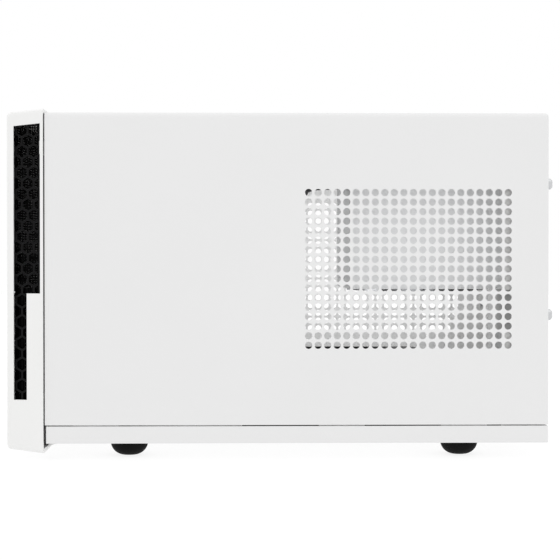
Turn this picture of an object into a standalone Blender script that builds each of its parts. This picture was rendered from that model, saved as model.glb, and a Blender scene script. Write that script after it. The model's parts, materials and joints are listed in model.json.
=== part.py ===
"""A compact desktop computer tower, modelled piece by piece.

The front faces -Y, up is +Z, and the origin is on the floor under the middle of the case.
Every size below is in millimetres, and becomes metres when a mesh is made.
"""

import math

import bmesh
import bpy
from mathutils import Matrix, Vector

MM = 0.001

# Overall sizes of the case
WIDTH = 222.0
DEPTH = 285.0
HEIGHT = 182.2

# Sheet steel, plastic walls and clearances
SHEET = 0.8
PAN_SHEET = 1.0
PLASTIC = 2.2
GAP = 0.3
FIT = 0.5
SEAM = 0.7

# Front bezel
BEZEL_DEPTH = 19.4
BEZEL_OVERHANG = 1.0
BEZEL_SIDE_TAPER = 4.0
BEZEL_TOP_DROP = 1.8
BEZEL_CHIN_RISE = 2.1
BEZEL_BOTTOM = 3.2
BEZEL_ROUND = 2.2
WINDOW_SIDE_MARGIN = 13.0
WINDOW_BOTTOM = 31.0
WINDOW_TOP_MARGIN = 7.5
SIDE_WINDOW_SETBACK = 3.8
SIDE_WINDOW_DEPTH = 14.0
SIDE_WINDOW_NARROW = 6.9
PORT_PANEL_WIDTH = 32.0
PORT_PANEL_TOP = 86.3
GRILLE_SHEET = 1.0
GRILLE_LAP = 3.0
CLIP_WIDTH = 7.0
CLIP_THICKNESS = 1.8
CLIP_REACH = 7.0
CLIP_BRIDGE = 1.6
CLIP_INSET = 10.0
CLIP_HEIGHTS = (26.0, 162.0)
LIP_WIDTH = 190.0
LIP_SHEET = 1.2

# Cover, base pan and feet
COVER_DROP = 1.8
COVER_CORNER = 3.0
COVER_REAR_FOLD = 8.4
SCREW_PROUD = 2.4
HOOK_LENGTH = 24.0
HOOK_DROP = 7.0
HOOK_PLACES = (-96.0, -32.0, 32.0, 96.0)
PAN_RISE = 8.9
FOOT_HEIGHT = 8.3
FOOT_RADIUS = 10.0
FOOT_INSET = 24.0
FOOT_FRONT_SETBACK = 62.4
FOOT_REAR_SETBACK = 46.4
COVER_SCREW_RADIUS = 2.9
COVER_SCREW_INSET = 5.2
COVER_SCREW_HEIGHTS = (("lower", 75.0), ("upper", 143.5))
SCREW_SHANK = 1.4

# Chassis
CHASSIS_INSET = 2.7
WALL_FOLD = 14.0
REAR_FOLD = 22.0
REAR_NOTCH = (66.0, 88.0)
RAIL_HEIGHT = 12.0
RAIL_WIDTH = 10.0
STANDOFF_HEIGHT = 6.2
STANDOFF_RADIUS = 3.0

# Main board
BOARD_SIDE = 170.0
BOARD_THICKNESS = 1.6
BOARD_RIGHT_SETBACK = 15.0
BOARD_REAR_SETBACK = 8.5
BOARD_HOLE_INSETS = (6.35, 163.65)
PORT_APERTURE = (158.75, 44.45)
PORT_APERTURE_MARGIN = 0.8
SLOT_PITCH = 20.3
SLOT_WIDTH = 13.0
SLOT_HEIGHT = 98.0
MODULE_LENGTH = 133.4
MODULE_HEIGHT = 31.0
MODULE_PITCH = 9.6
COOLER_SIDE = 92.0
COOLER_FIN_HEIGHT = 13.0
COOLER_BASE = 3.2
COOLER_FINS = 15

# Fans: side of the square frame, depth
FRONT_FAN = (120.0, 25.0)
SUPPLY_FAN = (80.0, 15.0)
COOLER_FAN = (92.0, 14.0)

# Power supply
SUPPLY_SIZE = (125.0, 100.0, 63.5)
SUPPLY_OFFSET = 86.5
SUPPLY_TOP_MARGIN = 29.0
ADAPTER_SIZE = (150.0, 86.0)
INLET_SIZE = (27.0, 20.0)
ROCKER_SIZE = (11.0, 17.0)
ROCKER_ANGLE = 7.0

# Front panel parts
POWER_BUTTON_RADIUS = 6.0
RESET_BUTTON_RADIUS = 2.6
POWER_TRAVEL = 1.5
RESET_TRAVEL = 1.0
LENS_RADIUS = 1.5
USB_SIZE = (14.4, 7.0)
JACK_RADIUS = 3.6
SWITCH_DEPTHS = (3.6, 0.9)

# Solid state drive
DRIVE_SIZE = (69.9, 100.0, 7.0)
DRIVE_SETBACK = 56.0

# Places worked out from the sizes above
FRONT = -DEPTH / 2
REAR = DEPTH / 2
BEZEL_BACK = FRONT + BEZEL_DEPTH
COVER_HALF = WIDTH / 2 - BEZEL_OVERHANG
COVER_TOP = HEIGHT - COVER_DROP
COVER_FRONT = BEZEL_BACK + SEAM
COVER_REAR = REAR - SCREW_PROUD
PAN_BOTTOM = FOOT_HEIGHT
PAN_FLOOR = PAN_BOTTOM + PAN_SHEET
PAN_TOP = PAN_BOTTOM + PAN_RISE
PAN_FRONT = COVER_FRONT + 2 * GAP
COVER_BOTTOM = PAN_TOP + 2 * GAP
CHASSIS_HALF = COVER_HALF - CHASSIS_INSET
CHASSIS_TOP = COVER_TOP - SHEET - 1.0
WALL_FRONT = PAN_FRONT + PAN_SHEET + GAP
WALL_BACK = WALL_FRONT + SHEET
REAR_OUTER = COVER_REAR - SHEET - FIT - GAP
REAR_INNER = REAR_OUTER - SHEET
WALL_BASE = PAN_FLOOR + GAP
PAN_REAR = REAR_OUTER + GAP + PAN_SHEET

PANEL_RIGHT = WIDTH / 2 - WINDOW_SIDE_MARGIN
PANEL_LEFT = PANEL_RIGHT - PORT_PANEL_WIDTH
PANEL_X = (PANEL_LEFT + PANEL_RIGHT) / 2
POWER_PLACE = (PANEL_X, PORT_PANEL_TOP - 9.5)
RESET_PLACE = (PANEL_X + 9.0, PORT_PANEL_TOP - 21.0)
POWER_LENS_PLACE = (PANEL_X - 9.0, PORT_PANEL_TOP - 21.0)
DRIVE_LENS_PLACE = (PANEL_X - 3.5, PORT_PANEL_TOP - 21.0)
USB_PLACES = (("upper", PORT_PANEL_TOP - 30.0), ("lower", PORT_PANEL_TOP - 39.5))
JACK_PLACES = (("headphone", PANEL_X - 6.5), ("microphone", PANEL_X + 6.5))
JACK_HEIGHT = PORT_PANEL_TOP - 49.0
PANEL_INNER = FRONT + PLASTIC
CIRCUIT_BACK = WALL_FRONT - GAP
CIRCUIT_FRONT = CIRCUIT_BACK - BOARD_THICKNESS

BOARD_RIGHT = COVER_HALF - BOARD_RIGHT_SETBACK
BOARD_LEFT = BOARD_RIGHT - BOARD_SIDE
BOARD_REAR = REAR - BOARD_REAR_SETBACK
BOARD_FRONT = BOARD_REAR - BOARD_SIDE
BOARD_BASE = PAN_FLOOR + STANDOFF_HEIGHT + GAP
BOARD_TOP = BOARD_BASE + BOARD_THICKNESS
ON_BOARD = BOARD_TOP + GAP
APERTURE_RIGHT = BOARD_RIGHT - PORT_APERTURE_MARGIN
APERTURE_LEFT = APERTURE_RIGHT - PORT_APERTURE[0]
APERTURE_BASE = BOARD_TOP - 2.2
APERTURE_TOP = APERTURE_BASE + PORT_APERTURE[1]
SLOT_X = BOARD_LEFT + 4.6
SLOT_OPENING_X = SLOT_X - 5.0
SLOT_BASE = BOARD_TOP + 4.0
COOLER_X = BOARD_LEFT + 95.0
COOLER_Y = BOARD_REAR - 97.0
COOLER_FLOOR = ON_BOARD + 3.2 + GAP

SUPPLY_CENTRE_X = BOARD_LEFT + SUPPLY_OFFSET
SUPPLY_TOP = COVER_TOP - SUPPLY_TOP_MARGIN
SUPPLY_BASE = SUPPLY_TOP - SUPPLY_SIZE[2]
SUPPLY_LEFT = SUPPLY_CENTRE_X - SUPPLY_SIZE[0] / 2
SUPPLY_RIGHT = SUPPLY_CENTRE_X + SUPPLY_SIZE[0] / 2
SUPPLY_REAR = REAR_OUTER
SUPPLY_FRONT = SUPPLY_REAR - SUPPLY_SIZE[1]
ADAPTER_BASE = SUPPLY_BASE - 5.0
SUPPLY_FAN_Y = SUPPLY_FRONT + SHEET + GAP + SUPPLY_FAN[0] / 2 + 1.0
INLET_HEIGHT = SUPPLY_BASE + SHEET + 2 * GAP + SUPPLY_FAN[1] + INLET_SIZE[1] / 2 + 1.0
INLET_PLACE = (SUPPLY_RIGHT - 22.0, INLET_HEIGHT)
ROCKER_PLACE = (SUPPLY_RIGHT - 46.0, INLET_HEIGHT)
FAN_X = -8.0
FAN_Z = WINDOW_BOTTOM + 64.0

# Colour, roughness and metallic value of each finish
LOOKS = {
    "white_steel": ("#ECECEA", 0.42, 0.0),
    "white_plastic": ("#EFEEEB", 0.38, 0.0),
    "black_plastic": ("#141416", 0.5, 0.0),
    "rubber": ("#0B0B0B", 0.75, 0.0),
    "pale_steel": ("#C9CBCC", 0.35, 0.9),
    "bright_steel": ("#B4B6B8", 0.28, 1.0),
    "circuit": ("#12291C", 0.45, 0.0),
    "aluminium": ("#B9BCBF", 0.38, 1.0),
    "clear": ("#D9E4EC", 0.15, 0.0),
    "sleeve": ("#161616", 0.7, 0.0),
}

# For each axis, which coordinates an outline's two numbers and its depth are
AXIS_ORDER = {"X": (1, 2, 0), "Y": (0, 2, 1), "Z": (0, 1, 2)}


def placed(axis, first, second, along):
    """Return the point, in metres, of an outline's two numbers and a depth on an axis."""
    point = [0.0, 0.0, 0.0]
    for index, value in zip(AXIS_ORDER[axis], (first, second, along)):
        point[index] = value * MM
    return point


def shape_from(bm):
    """Turn a bmesh into a scene object with its faces pointing outwards."""
    bmesh.ops.recalc_face_normals(bm, faces=bm.faces)
    mesh = bpy.data.meshes.new("shape")
    bm.to_mesh(mesh)
    bm.free()
    shape = bpy.data.objects.new("shape", mesh)
    bpy.context.scene.collection.objects.link(shape)
    return shape


def prism(outline, axis, start, end):
    """Extrude a closed outline along an axis."""
    bm = bmesh.new()
    first = [bm.verts.new(placed(axis, u, v, start)) for u, v in outline]
    second = [bm.verts.new(placed(axis, u, v, end)) for u, v in outline]
    bm.faces.new(first)
    bm.faces.new(second)
    for index, corner in enumerate(first):
        bm.faces.new((first[index - 1], corner, second[index], second[index - 1]))
    return shape_from(bm)


def block(low, high):
    """Make a box from its lowest and highest corners."""
    outline = [(low[0], low[1]), (high[0], low[1]), (high[0], high[1]), (low[0], high[1])]
    return prism(outline, "Z", low[2], high[2])


def circle(centre, radius, sides):
    """Return the points of a regular outline round a centre."""
    turns = [2 * math.pi * (step + 0.5) / sides for step in range(sides)]
    return [(centre[0] + radius * math.cos(turn), centre[1] + radius * math.sin(turn)) for turn in turns]


def rod(centre, axis, radius, start, end, sides=24):
    """Make a round bar along an axis."""
    return prism(circle(centre, radius, sides), axis, start, end)


def turned(profile, centre, axis, sides=32):
    """Revolve a closed profile of (radius, place along the axis) points."""
    bm = bmesh.new()
    rows = []
    for radius, along in profile:
        ring = circle(centre, radius, sides) if radius > 0 else [centre]
        rows.append([bm.verts.new(placed(axis, u, v, along)) for u, v in ring])
    for first, second in zip(rows, rows[1:] + rows[:1]):
        for step in range(sides):
            after = (step + 1) % sides
            corners = (first[step % len(first)], first[after % len(first)],
                       second[after % len(second)], second[step % len(second)])
            face = list(dict.fromkeys(corners))
            if len(face) > 2:
                bm.faces.new(face)
    return shape_from(bm)


def bake(shape):
    """Replace a shape's mesh with the result of its modifiers."""
    graph = bpy.context.evaluated_depsgraph_get()
    mesh = bpy.data.meshes.new_from_object(shape.evaluated_get(graph))
    shape.modifiers.clear()
    shape.data = mesh
    return shape


def boolean(shape, tool, operation):
    """Join a tool to a shape, or cut it away, and remove the tool."""
    modifier = shape.modifiers.new(operation, "BOOLEAN")
    modifier.operation = operation
    modifier.solver = "EXACT"
    modifier.object = tool
    bake(shape)
    bpy.data.objects.remove(tool)


def fuse(shape, *others):
    """Join several shapes into one."""
    for other in others:
        boolean(shape, other, "UNION")
    return shape


def carve(shape, *tools):
    """Cut several shapes away from one."""
    for tool in tools:
        boolean(shape, tool, "DIFFERENCE")
    return shape


def softened(shape, width, segments=2):
    """Round a shape's sharp edges."""
    modifier = shape.modifiers.new("Round", "BEVEL")
    modifier.width = width * MM
    modifier.segments = segments
    modifier.limit_method = "ANGLE"
    modifier.angle_limit = math.radians(40)
    return bake(shape)


def part(name, shape, look, pivot=None, smooth=False):
    """Name a finished piece, give it a material, and put its origin on its pivot."""
    shape.name = name
    shape.data.name = name
    if smooth:
        shape.data.shade_smooth()
        shape.data.set_sharp_from_angle(angle=math.radians(35))
    if pivot:
        centre = Vector(pivot) * MM
        shape.data.transform(Matrix.Translation(-centre))
        shape.location = centre
    colour, roughness, metallic = LOOKS[look]
    material = bpy.data.materials.new(name)
    material.use_nodes = True
    shader = material.node_tree.nodes["Principled BSDF"]
    channels = [int(colour[place:place + 2], 16) / 255 for place in (1, 3, 5)]
    linear = [value / 12.92 if value <= 0.04045 else ((value + 0.055) / 1.055) ** 2.4 for value in channels]
    shader.inputs["Base Color"].default_value = (*linear, 1.0)
    shader.inputs["Roughness"].default_value = roughness
    shader.inputs["Metallic"].default_value = metallic
    shape.data.materials.clear()
    shape.data.materials.append(material)
    return shape


def lead(name, points, diameter):
    """Make a sleeved cable along a smooth curve through its route's points."""
    route = [Vector(point) for point in points]
    padded = [2 * route[0] - route[1], *route, 2 * route[-1] - route[-2]]
    smooth = []
    for index in range(1, len(padded) - 2):
        before, start, end, after = padded[index - 1:index + 3]
        count = max(2, round((end - start).length / (2.2 * diameter)))
        for step in range(count):
            t = step / count
            bend = 2 * before - 5 * start + 4 * end - after
            twist = 3 * start - before - 3 * end + after
            smooth.append(0.5 * (2 * start + (end - before) * t + bend * t * t + twist * t ** 3))
    smooth.append(route[-1])
    curve = bpy.data.curves.new(name, "CURVE")
    curve.dimensions = "3D"
    curve.bevel_depth = diameter / 2 * MM
    curve.bevel_resolution = 2
    curve.use_fill_caps = True
    spline = curve.splines.new("POLY")
    spline.points.add(len(smooth) - 1)
    for point, place in zip(spline.points, smooth):
        point.co = (*(place * MM), 1.0)
    cable = bpy.data.objects.new(name, curve)
    bpy.context.scene.collection.objects.link(cable)
    bake_curve = bpy.data.meshes.new_from_object(cable.evaluated_get(bpy.context.evaluated_depsgraph_get()))
    bpy.data.objects.remove(cable)
    shape = bpy.data.objects.new(name, bake_curve)
    bpy.context.scene.collection.objects.link(shape)
    return part(name, shape, "sleeve", smooth=True)


# ---------------------------------------------------------------- front bezel

def bezel_half(y, inset=0.0):
    """Return the bezel's half width at a depth, less an inset."""
    return WIDTH / 2 - BEZEL_SIDE_TAPER * (BEZEL_BACK - y) / BEZEL_DEPTH - inset


def bezel_top(y, inset=0.0):
    """Return the height of the bezel's top at a depth, less an inset."""
    return HEIGHT - BEZEL_TOP_DROP * (BEZEL_BACK - y) / BEZEL_DEPTH - inset


def bezel_floor(y, inset=0.0):
    """Return the height of the bezel's underside at a depth, plus an inset."""
    return BEZEL_BOTTOM + BEZEL_CHIN_RISE * (BEZEL_BACK - y) / BEZEL_DEPTH + inset


def bezel_frustum(start, end, inset):
    """Make the bezel's tapered block between two depths, smaller by an inset all round."""
    bm = bmesh.new()
    rings = []
    for y in (start, end):
        half, top, floor = bezel_half(y, inset), bezel_top(y, inset), bezel_floor(y, inset)
        corners = ((-half, floor), (half, floor), (half, top), (-half, top))
        rings.append([bm.verts.new(placed("Y", x, z, y)) for x, z in corners])
    bm.faces.new(rings[0])
    bm.faces.new(rings[1])
    for index in range(4):
        bm.faces.new((rings[0][index - 1], rings[0][index], rings[1][index], rings[1][index - 1]))
    return shape_from(bm)


def window_top(y):
    """Return the height of the side window's top edge at a depth."""
    return bezel_top(y) - WINDOW_TOP_MARGIN


def side_window(side):
    """Make the cutter of one side's window, which is stepped beside the port panel."""
    front = FRONT + SIDE_WINDOW_SETBACK
    back = front + SIDE_WINDOW_DEPTH
    outline = [(front, window_top(front)), (back, window_top(back))]
    if side > 0:
        narrow = front + SIDE_WINDOW_NARROW
        outline += [(back, PORT_PANEL_TOP), (narrow, PORT_PANEL_TOP), (narrow, WINDOW_BOTTOM)]
    else:
        outline += [(back, WINDOW_BOTTOM)]
    outline += [(front, WINDOW_BOTTOM)]
    inner = bezel_half(FRONT, 2 * PLASTIC)
    return prism(outline, "X", side * inner, side * WIDTH)


def front_window():
    """Make the cutter of the front window, which leaves the port panel standing."""
    top = window_top(FRONT)
    outline = [(-PANEL_RIGHT, WINDOW_BOTTOM), (PANEL_LEFT, WINDOW_BOTTOM), (PANEL_LEFT, PORT_PANEL_TOP),
               (PANEL_RIGHT, PORT_PANEL_TOP), (PANEL_RIGHT, top), (-PANEL_RIGHT, top)]
    return prism(outline, "Y", FRONT - PLASTIC, FRONT + 2 * PLASTIC)


def pull_lip():
    """Make the curved finger strip under the bezel's back edge."""
    reach = 7.5
    rise = PAN_BOTTOM - GAP - LIP_SHEET - BEZEL_BOTTOM
    steps = 6
    under = []
    for step in range(steps + 1):
        turn = math.pi / 2 * step / steps
        under.append((BEZEL_BACK + reach * (1 - math.cos(turn)) - GAP,
                      BEZEL_BOTTOM + rise * math.sin(turn)))
    under[0] = (BEZEL_BACK - PLASTIC, bezel_floor(BEZEL_BACK - PLASTIC) + GAP)
    over = [(y, z + LIP_SHEET) for y, z in reversed(under)]
    return prism(under + over, "X", -LIP_WIDTH / 2, LIP_WIDTH / 2)


def clip_places():
    """Return the middle of each clip on the bezel's back."""
    x = bezel_half(BEZEL_BACK, CLIP_INSET)
    return [(side * x, z) for side in (-1, 1) for z in CLIP_HEIGHTS]


def clip_block(place, y_start, y_end, clearance):
    """Make a clip, or with a clearance the hole that it enters."""
    x, z = place
    half_x = CLIP_THICKNESS / 2 + clearance
    half_z = CLIP_WIDTH / 2 + clearance
    return block((x - half_x, y_start, z - half_z), (x + half_x, y_end, z + half_z))


def clip_bridge(place):
    """Make the rib that carries a clip from the bezel's side wall."""
    x, z = place
    outer = math.copysign(bezel_half(BEZEL_BACK, PLASTIC / 2), x)
    low, high = sorted((x - math.copysign(CLIP_THICKNESS / 2, x), outer))
    back = BEZEL_BACK - GAP
    return block((low, back - CLIP_BRIDGE, z - CLIP_WIDTH / 2), (high, back, z + CLIP_WIDTH / 2))


def front_bezel():
    """Make the moulded front with its windows, port panel, clips and pull lip."""
    shell = softened(bezel_frustum(FRONT, BEZEL_BACK + PLASTIC, 0.0), BEZEL_ROUND, 3)
    trim = block((-WIDTH, BEZEL_BACK, -HEIGHT), (WIDTH, BEZEL_BACK + 2 * PLASTIC, 2 * HEIGHT))
    hollow = bezel_frustum(PANEL_INNER, BEZEL_BACK + 2 * PLASTIC, PLASTIC)
    carve(shell, trim, hollow, front_window(), side_window(1), side_window(-1))
    for place in clip_places():
        clip = clip_block(place, BEZEL_BACK - GAP - CLIP_BRIDGE, BEZEL_BACK + CLIP_REACH, 0.0)
        fuse(shell, clip_bridge(place), clip)
    fuse(shell, pull_lip())
    for place, radius in ((POWER_PLACE, POWER_BUTTON_RADIUS), (RESET_PLACE, RESET_BUTTON_RADIUS),
                          (POWER_LENS_PLACE, LENS_RADIUS), (DRIVE_LENS_PLACE, LENS_RADIUS)):
        carve(shell, rod(place, "Y", radius + GAP, FRONT - PLASTIC, FRONT + 2 * PLASTIC))
    for _, z in USB_PLACES:
        half_x, half_z = USB_SIZE[0] / 2 + GAP, USB_SIZE[1] / 2 + GAP
        carve(shell, block((PANEL_X - half_x, FRONT - PLASTIC, z - half_z),
                           (PANEL_X + half_x, FRONT + 2 * PLASTIC, z + half_z)))
    for _, x in JACK_PLACES:
        carve(shell, rod((x, JACK_HEIGHT), "Y", JACK_RADIUS + GAP, FRONT - PLASTIC, FRONT + 2 * PLASTIC))
    part("front_bezel", shell, "white_plastic")


def formed_sheet(inset, thickness):
    """Make a U-shaped sheet just inside the bezel, cut away behind the port panel."""
    front = FRONT + inset
    back = BEZEL_BACK - 2 * GAP - CLIP_BRIDGE
    outline = []
    for step, y in ((0.0, front), (0.0, back), (thickness, back), (thickness, front + thickness)):
        outline.append((bezel_half(y, inset + step), y))
    outline += [(-x, y) for x, y in reversed(outline)]
    sheet = prism(outline, "Z", WINDOW_BOTTOM - GRILLE_LAP, window_top(FRONT) + GRILLE_LAP)
    inner = bezel_half(FRONT, inset + thickness + FIT)
    notch = block((PANEL_LEFT - GRILLE_LAP + 1.0, FRONT, 0.0),
                  (inner, BEZEL_BACK, PORT_PANEL_TOP + 1.0))
    return carve(sheet, notch)


def front_sheets():
    """Make the honeycomb grille and, behind it, the dust filter."""
    grille_inset = PLASTIC + FIT
    part("honeycomb_grille", formed_sheet(grille_inset, GRILLE_SHEET), "black_plastic")
    filter_inset = grille_inset + GRILLE_SHEET + FIT
    part("dust_filter", formed_sheet(filter_inset, SHEET), "black_plastic")


def button(name, place, radius, travel):
    """Make a round button, with the flange that keeps it behind the panel and its stem."""
    face = FRONT + 0.1
    flange = PANEL_INNER + GAP
    stem_end = CIRCUIT_FRONT - GAP - sum(SWITCH_DEPTHS) - travel - GAP
    profile = [(0.0, face), (radius - 0.6, face), (radius, face + 0.6), (radius, flange),
               (radius + 1.4, flange), (radius + 1.4, flange + 1.2), (1.6, flange + 1.2),
               (1.6, stem_end), (0.0, stem_end)]
    shape = turned(profile, place, "Y")
    part(name, shape, "white_plastic", pivot=(place[0], face, place[1]), smooth=True)


def switch(name, place):
    """Make a push switch on the front circuit, with its plunger towards the button."""
    back = CIRCUIT_FRONT - GAP
    body_front = back - SWITCH_DEPTHS[0]
    x, z = place
    body = block((x - 3.0, body_front, z - 3.0), (x + 3.0, back, z + 3.0))
    plunger = rod(place, "Y", 1.5, body_front - SWITCH_DEPTHS[1], body_front + 1.0, 16)
    part(name, fuse(body, plunger), "black_plastic")


def front_ports():
    """Make the front circuit and the sockets, switches, buttons and lenses on it."""
    low = (PANEL_LEFT + 2.0, CIRCUIT_FRONT, WINDOW_BOTTOM + 1.0)
    part("front_circuit", block(low, (PANEL_RIGHT - 1.0, CIRCUIT_BACK, PORT_PANEL_TOP - 1.0)), "circuit")
    back = CIRCUIT_FRONT - GAP
    for name, z in USB_PLACES:
        half_x, half_z = USB_SIZE[0] / 2, USB_SIZE[1] / 2
        front = FRONT + 0.8
        socket = block((PANEL_X - half_x, front, z - half_z), (PANEL_X + half_x, back, z + half_z))
        recess = block((PANEL_X - half_x + 0.6, front - 1.0, z - half_z + 0.6),
                       (PANEL_X + half_x - 0.6, front + 12.0, z + half_z - 0.6))
        part(f"front_usb_{name}", carve(socket, recess), "bright_steel")
    for name, x in JACK_PLACES:
        front = FRONT + 0.8
        profile = [(1.8, front), (JACK_RADIUS, front), (JACK_RADIUS, back), (0.0, back),
                   (0.0, back - 3.0), (1.8, back - 3.0)]
        part(f"{name}_jack", turned(profile, (x, JACK_HEIGHT), "Y", 20), "black_plastic", smooth=True)
    switch("power_switch", POWER_PLACE)
    switch("reset_switch", RESET_PLACE)
    button("power_button", POWER_PLACE, POWER_BUTTON_RADIUS, POWER_TRAVEL)
    button("reset_button", RESET_PLACE, RESET_BUTTON_RADIUS, RESET_TRAVEL)
    for name, place in (("power_lens", POWER_LENS_PLACE), ("drive_lens", DRIVE_LENS_PLACE)):
        face = FRONT + 0.2
        profile = [(0.0, face), (LENS_RADIUS - 0.4, face + 0.1), (LENS_RADIUS, face + 0.6),
                   (LENS_RADIUS, face + 7.0), (0.0, face + 7.0)]
        part(name, turned(profile, place, "Y", 16), "clear", smooth=True)


# ---------------------------------------------------------------- cover, pan and feet

def arch(inset, floor):
    """Return the cover's section, with round top corners, smaller by an inset."""
    half = COVER_HALF - inset
    top = COVER_TOP - inset
    radius = max(COVER_CORNER - inset, SHEET)
    steps = 5
    points = [(half, floor)]
    for side in (1, -1):
        for step in range(steps + 1):
            turn = math.pi / 2 * (step if side > 0 else steps - step) / steps
            points.append((side * (half - radius + radius * math.cos(turn)),
                           top - radius + radius * math.sin(turn)))
    points.append((-half, floor))
    return points


def cover_screw_places():
    """Return each cover screw's name and place on the cover's rear fold."""
    x = COVER_HALF - COVER_SCREW_INSET
    return [(f"cover_screw_{level}_{side_name}", (side * x, z))
            for side_name, side in (("right", 1), ("left", -1)) for level, z in COVER_SCREW_HEIGHTS]


def top_cover():
    """Make the U-shaped cover with its rear fold and the hooks that reach behind the pan."""
    shell = prism(arch(0.0, COVER_BOTTOM), "Y", COVER_FRONT, COVER_REAR)
    hollow = prism(arch(SHEET, -HEIGHT), "Y", COVER_FRONT - DEPTH, COVER_REAR - SHEET)
    opening = prism(arch(COVER_REAR_FOLD, -HEIGHT), "Y", 0.0, COVER_REAR + DEPTH)
    carve(shell, hollow, opening)
    for _, place in cover_screw_places():
        carve(shell, rod(place, "Y", SCREW_SHANK + GAP, COVER_REAR - 3.0, COVER_REAR + 3.0, 12))
    outer = COVER_HALF - PAN_SHEET - FIT
    for side in (-1, 1):
        for y in HOOK_PLACES:
            x_low, x_high = sorted((side * (outer - SHEET), side * outer))
            joggle_low, joggle_high = sorted((side * (outer - SHEET), side * (COVER_HALF - SHEET / 2)))
            start, end = y - HOOK_LENGTH / 2, y + HOOK_LENGTH / 2
            hook = block((x_low, start, COVER_BOTTOM - HOOK_DROP), (x_high, end, COVER_BOTTOM + 2.0))
            joggle = block((joggle_low, start, COVER_BOTTOM + 2.0 - SHEET),
                           (joggle_high, end, COVER_BOTTOM + 2.0))
            fuse(shell, fuse(hook, joggle))
    part("top_cover", shell, "white_steel")


def cover_screws():
    """Make the four screws that hold the cover's rear fold to the rear wall."""
    for name, place in cover_screw_places():
        seat = COVER_REAR + 0.1
        head = COVER_SCREW_RADIUS
        profile = [(0.0, REAR), (head - 0.9, REAR), (head, REAR - 0.9), (head, seat), (SCREW_SHANK, seat),
                   (SCREW_SHANK, REAR_INNER - 3.0), (0.0, REAR_INNER - 3.5)]
        screw = turned(profile, place, "Y", 20)
        for size in ((2.1, 0.35), (0.35, 2.1)):
            carve(screw, block((place[0] - size[0], REAR - 1.1, place[1] - size[1]),
                               (place[0] + size[0], REAR + 1.0, place[1] + size[1])))
        part(name, screw, "bright_steel", pivot=(place[0], REAR, place[1]), smooth=True)


def board_holes():
    """Return the places of the main board's four mounting holes."""
    return [(BOARD_LEFT + x, BOARD_REAR - y) for x in BOARD_HOLE_INSETS for y in BOARD_HOLE_INSETS]


def base_pan():
    """Make the folded base pan, with slots for the cover's hooks and stand-offs for the main board."""
    tray = block((-COVER_HALF, PAN_FRONT, PAN_BOTTOM), (COVER_HALF, PAN_REAR, PAN_TOP))
    inner = COVER_HALF - PAN_SHEET
    carve(tray, block((-inner, PAN_FRONT + PAN_SHEET, PAN_FLOOR), (inner, PAN_REAR - PAN_SHEET, HEIGHT)))
    for side in (-1, 1):
        x_low, x_high = sorted((side * (CHASSIS_HALF - FIT), side * inner))
        carve(tray, block((x_low, PAN_REAR - PAN_SHEET - 1.0, COVER_BOTTOM - HOOK_DROP - FIT),
                          (x_high, PAN_REAR + 1.0, HEIGHT)))
    for place in board_holes():
        fuse(tray, rod(place, "Z", STANDOFF_RADIUS, PAN_BOTTOM + PAN_SHEET / 2, BOARD_BASE - GAP, 6))
    part("base_pan", tray, "white_steel")


def feet():
    """Make the four rubber feet."""
    top = FOOT_HEIGHT - GAP
    radius = FOOT_RADIUS
    profile = [(0.0, 0.0), (0.55 * radius, 0.0), (0.8 * radius, 0.09 * top), (0.95 * radius, 0.35 * top),
               (radius, 0.7 * top), (radius, top), (0.0, top)]
    for end_name, y in (("front", FRONT + FOOT_FRONT_SETBACK), ("rear", REAR - FOOT_REAR_SETBACK)):
        for side_name, side in (("right", 1), ("left", -1)):
            centre = (side * (COVER_HALF - FOOT_INSET), y)
            part(f"foot_{end_name}_{side_name}", turned(profile, centre, "Z"), "rubber", smooth=True)


# ---------------------------------------------------------------- chassis

def walled_plate(outer, inner, fold_end):
    """Make an upright plate, folded along its two sides and its top."""
    half = CHASSIS_HALF
    low_y, high_y = sorted((outer, fold_end))
    slab = block((-half, low_y, WALL_BASE), (half, high_y, CHASSIS_TOP))
    low_y, high_y = sorted((inner, 2 * fold_end - outer))
    return carve(slab, block((SHEET - half, low_y, 0.0), (half - SHEET, high_y, CHASSIS_TOP - SHEET)))


def front_wall():
    """Make the front wall with its fan opening, cable pass and clip holes."""
    wall = walled_plate(WALL_FRONT, WALL_BACK, WALL_BACK + WALL_FOLD)
    before, behind = WALL_FRONT - 3.0, WALL_BACK + 3.0
    carve(wall, rod((FAN_X, FAN_Z), "Y", FRONT_FAN[0] / 2 - 3.0, before, behind, 48))
    carve(wall, block((PANEL_X - 9.0, before, WINDOW_BOTTOM + 6.0), (PANEL_X + 9.0, behind, 60.0)))
    for place in clip_places():
        carve(wall, clip_block(place, before, behind, FIT))
    part("front_wall", wall, "white_steel")


def slot_places():
    """Return the middle of each expansion slot, from the board outwards."""
    return [SLOT_OPENING_X - step * SLOT_PITCH for step in range(2)]


def rear_wall():
    """Make the rear wall with its openings for the ports, cards, supply and screws."""
    wall = walled_plate(REAR_OUTER, REAR_INNER, REAR_INNER - REAR_FOLD)
    before, behind = REAR_INNER - 3.0, REAR_OUTER + 3.0
    carve(wall, block((APERTURE_LEFT, before, APERTURE_BASE), (APERTURE_RIGHT, behind, APERTURE_TOP)))
    carve(wall, block((SUPPLY_LEFT - FIT, before, SUPPLY_BASE - FIT),
                      (SUPPLY_RIGHT + FIT, behind, SUPPLY_TOP + FIT)))
    for x in slot_places():
        carve(wall, block((x - SLOT_WIDTH / 2 + 1.0, before, SLOT_BASE + 2.0),
                          (x + SLOT_WIDTH / 2 - 1.0, behind, SLOT_BASE + SLOT_HEIGHT)))
    for _, place in cover_screw_places():
        carve(wall, rod(place, "Y", SCREW_SHANK + GAP, before, behind, 12))
    for side in (-1, 1):
        low_x, high_x = sorted((side * (CHASSIS_HALF - 3.0), side * (CHASSIS_HALF + 3.0)))
        carve(wall, block((low_x, REAR_INNER - REAR_FOLD - 3.0, REAR_NOTCH[0]),
                          (high_x, REAR_INNER - 4.0, REAR_NOTCH[1])))
    part("rear_wall", wall, "white_steel")


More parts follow.
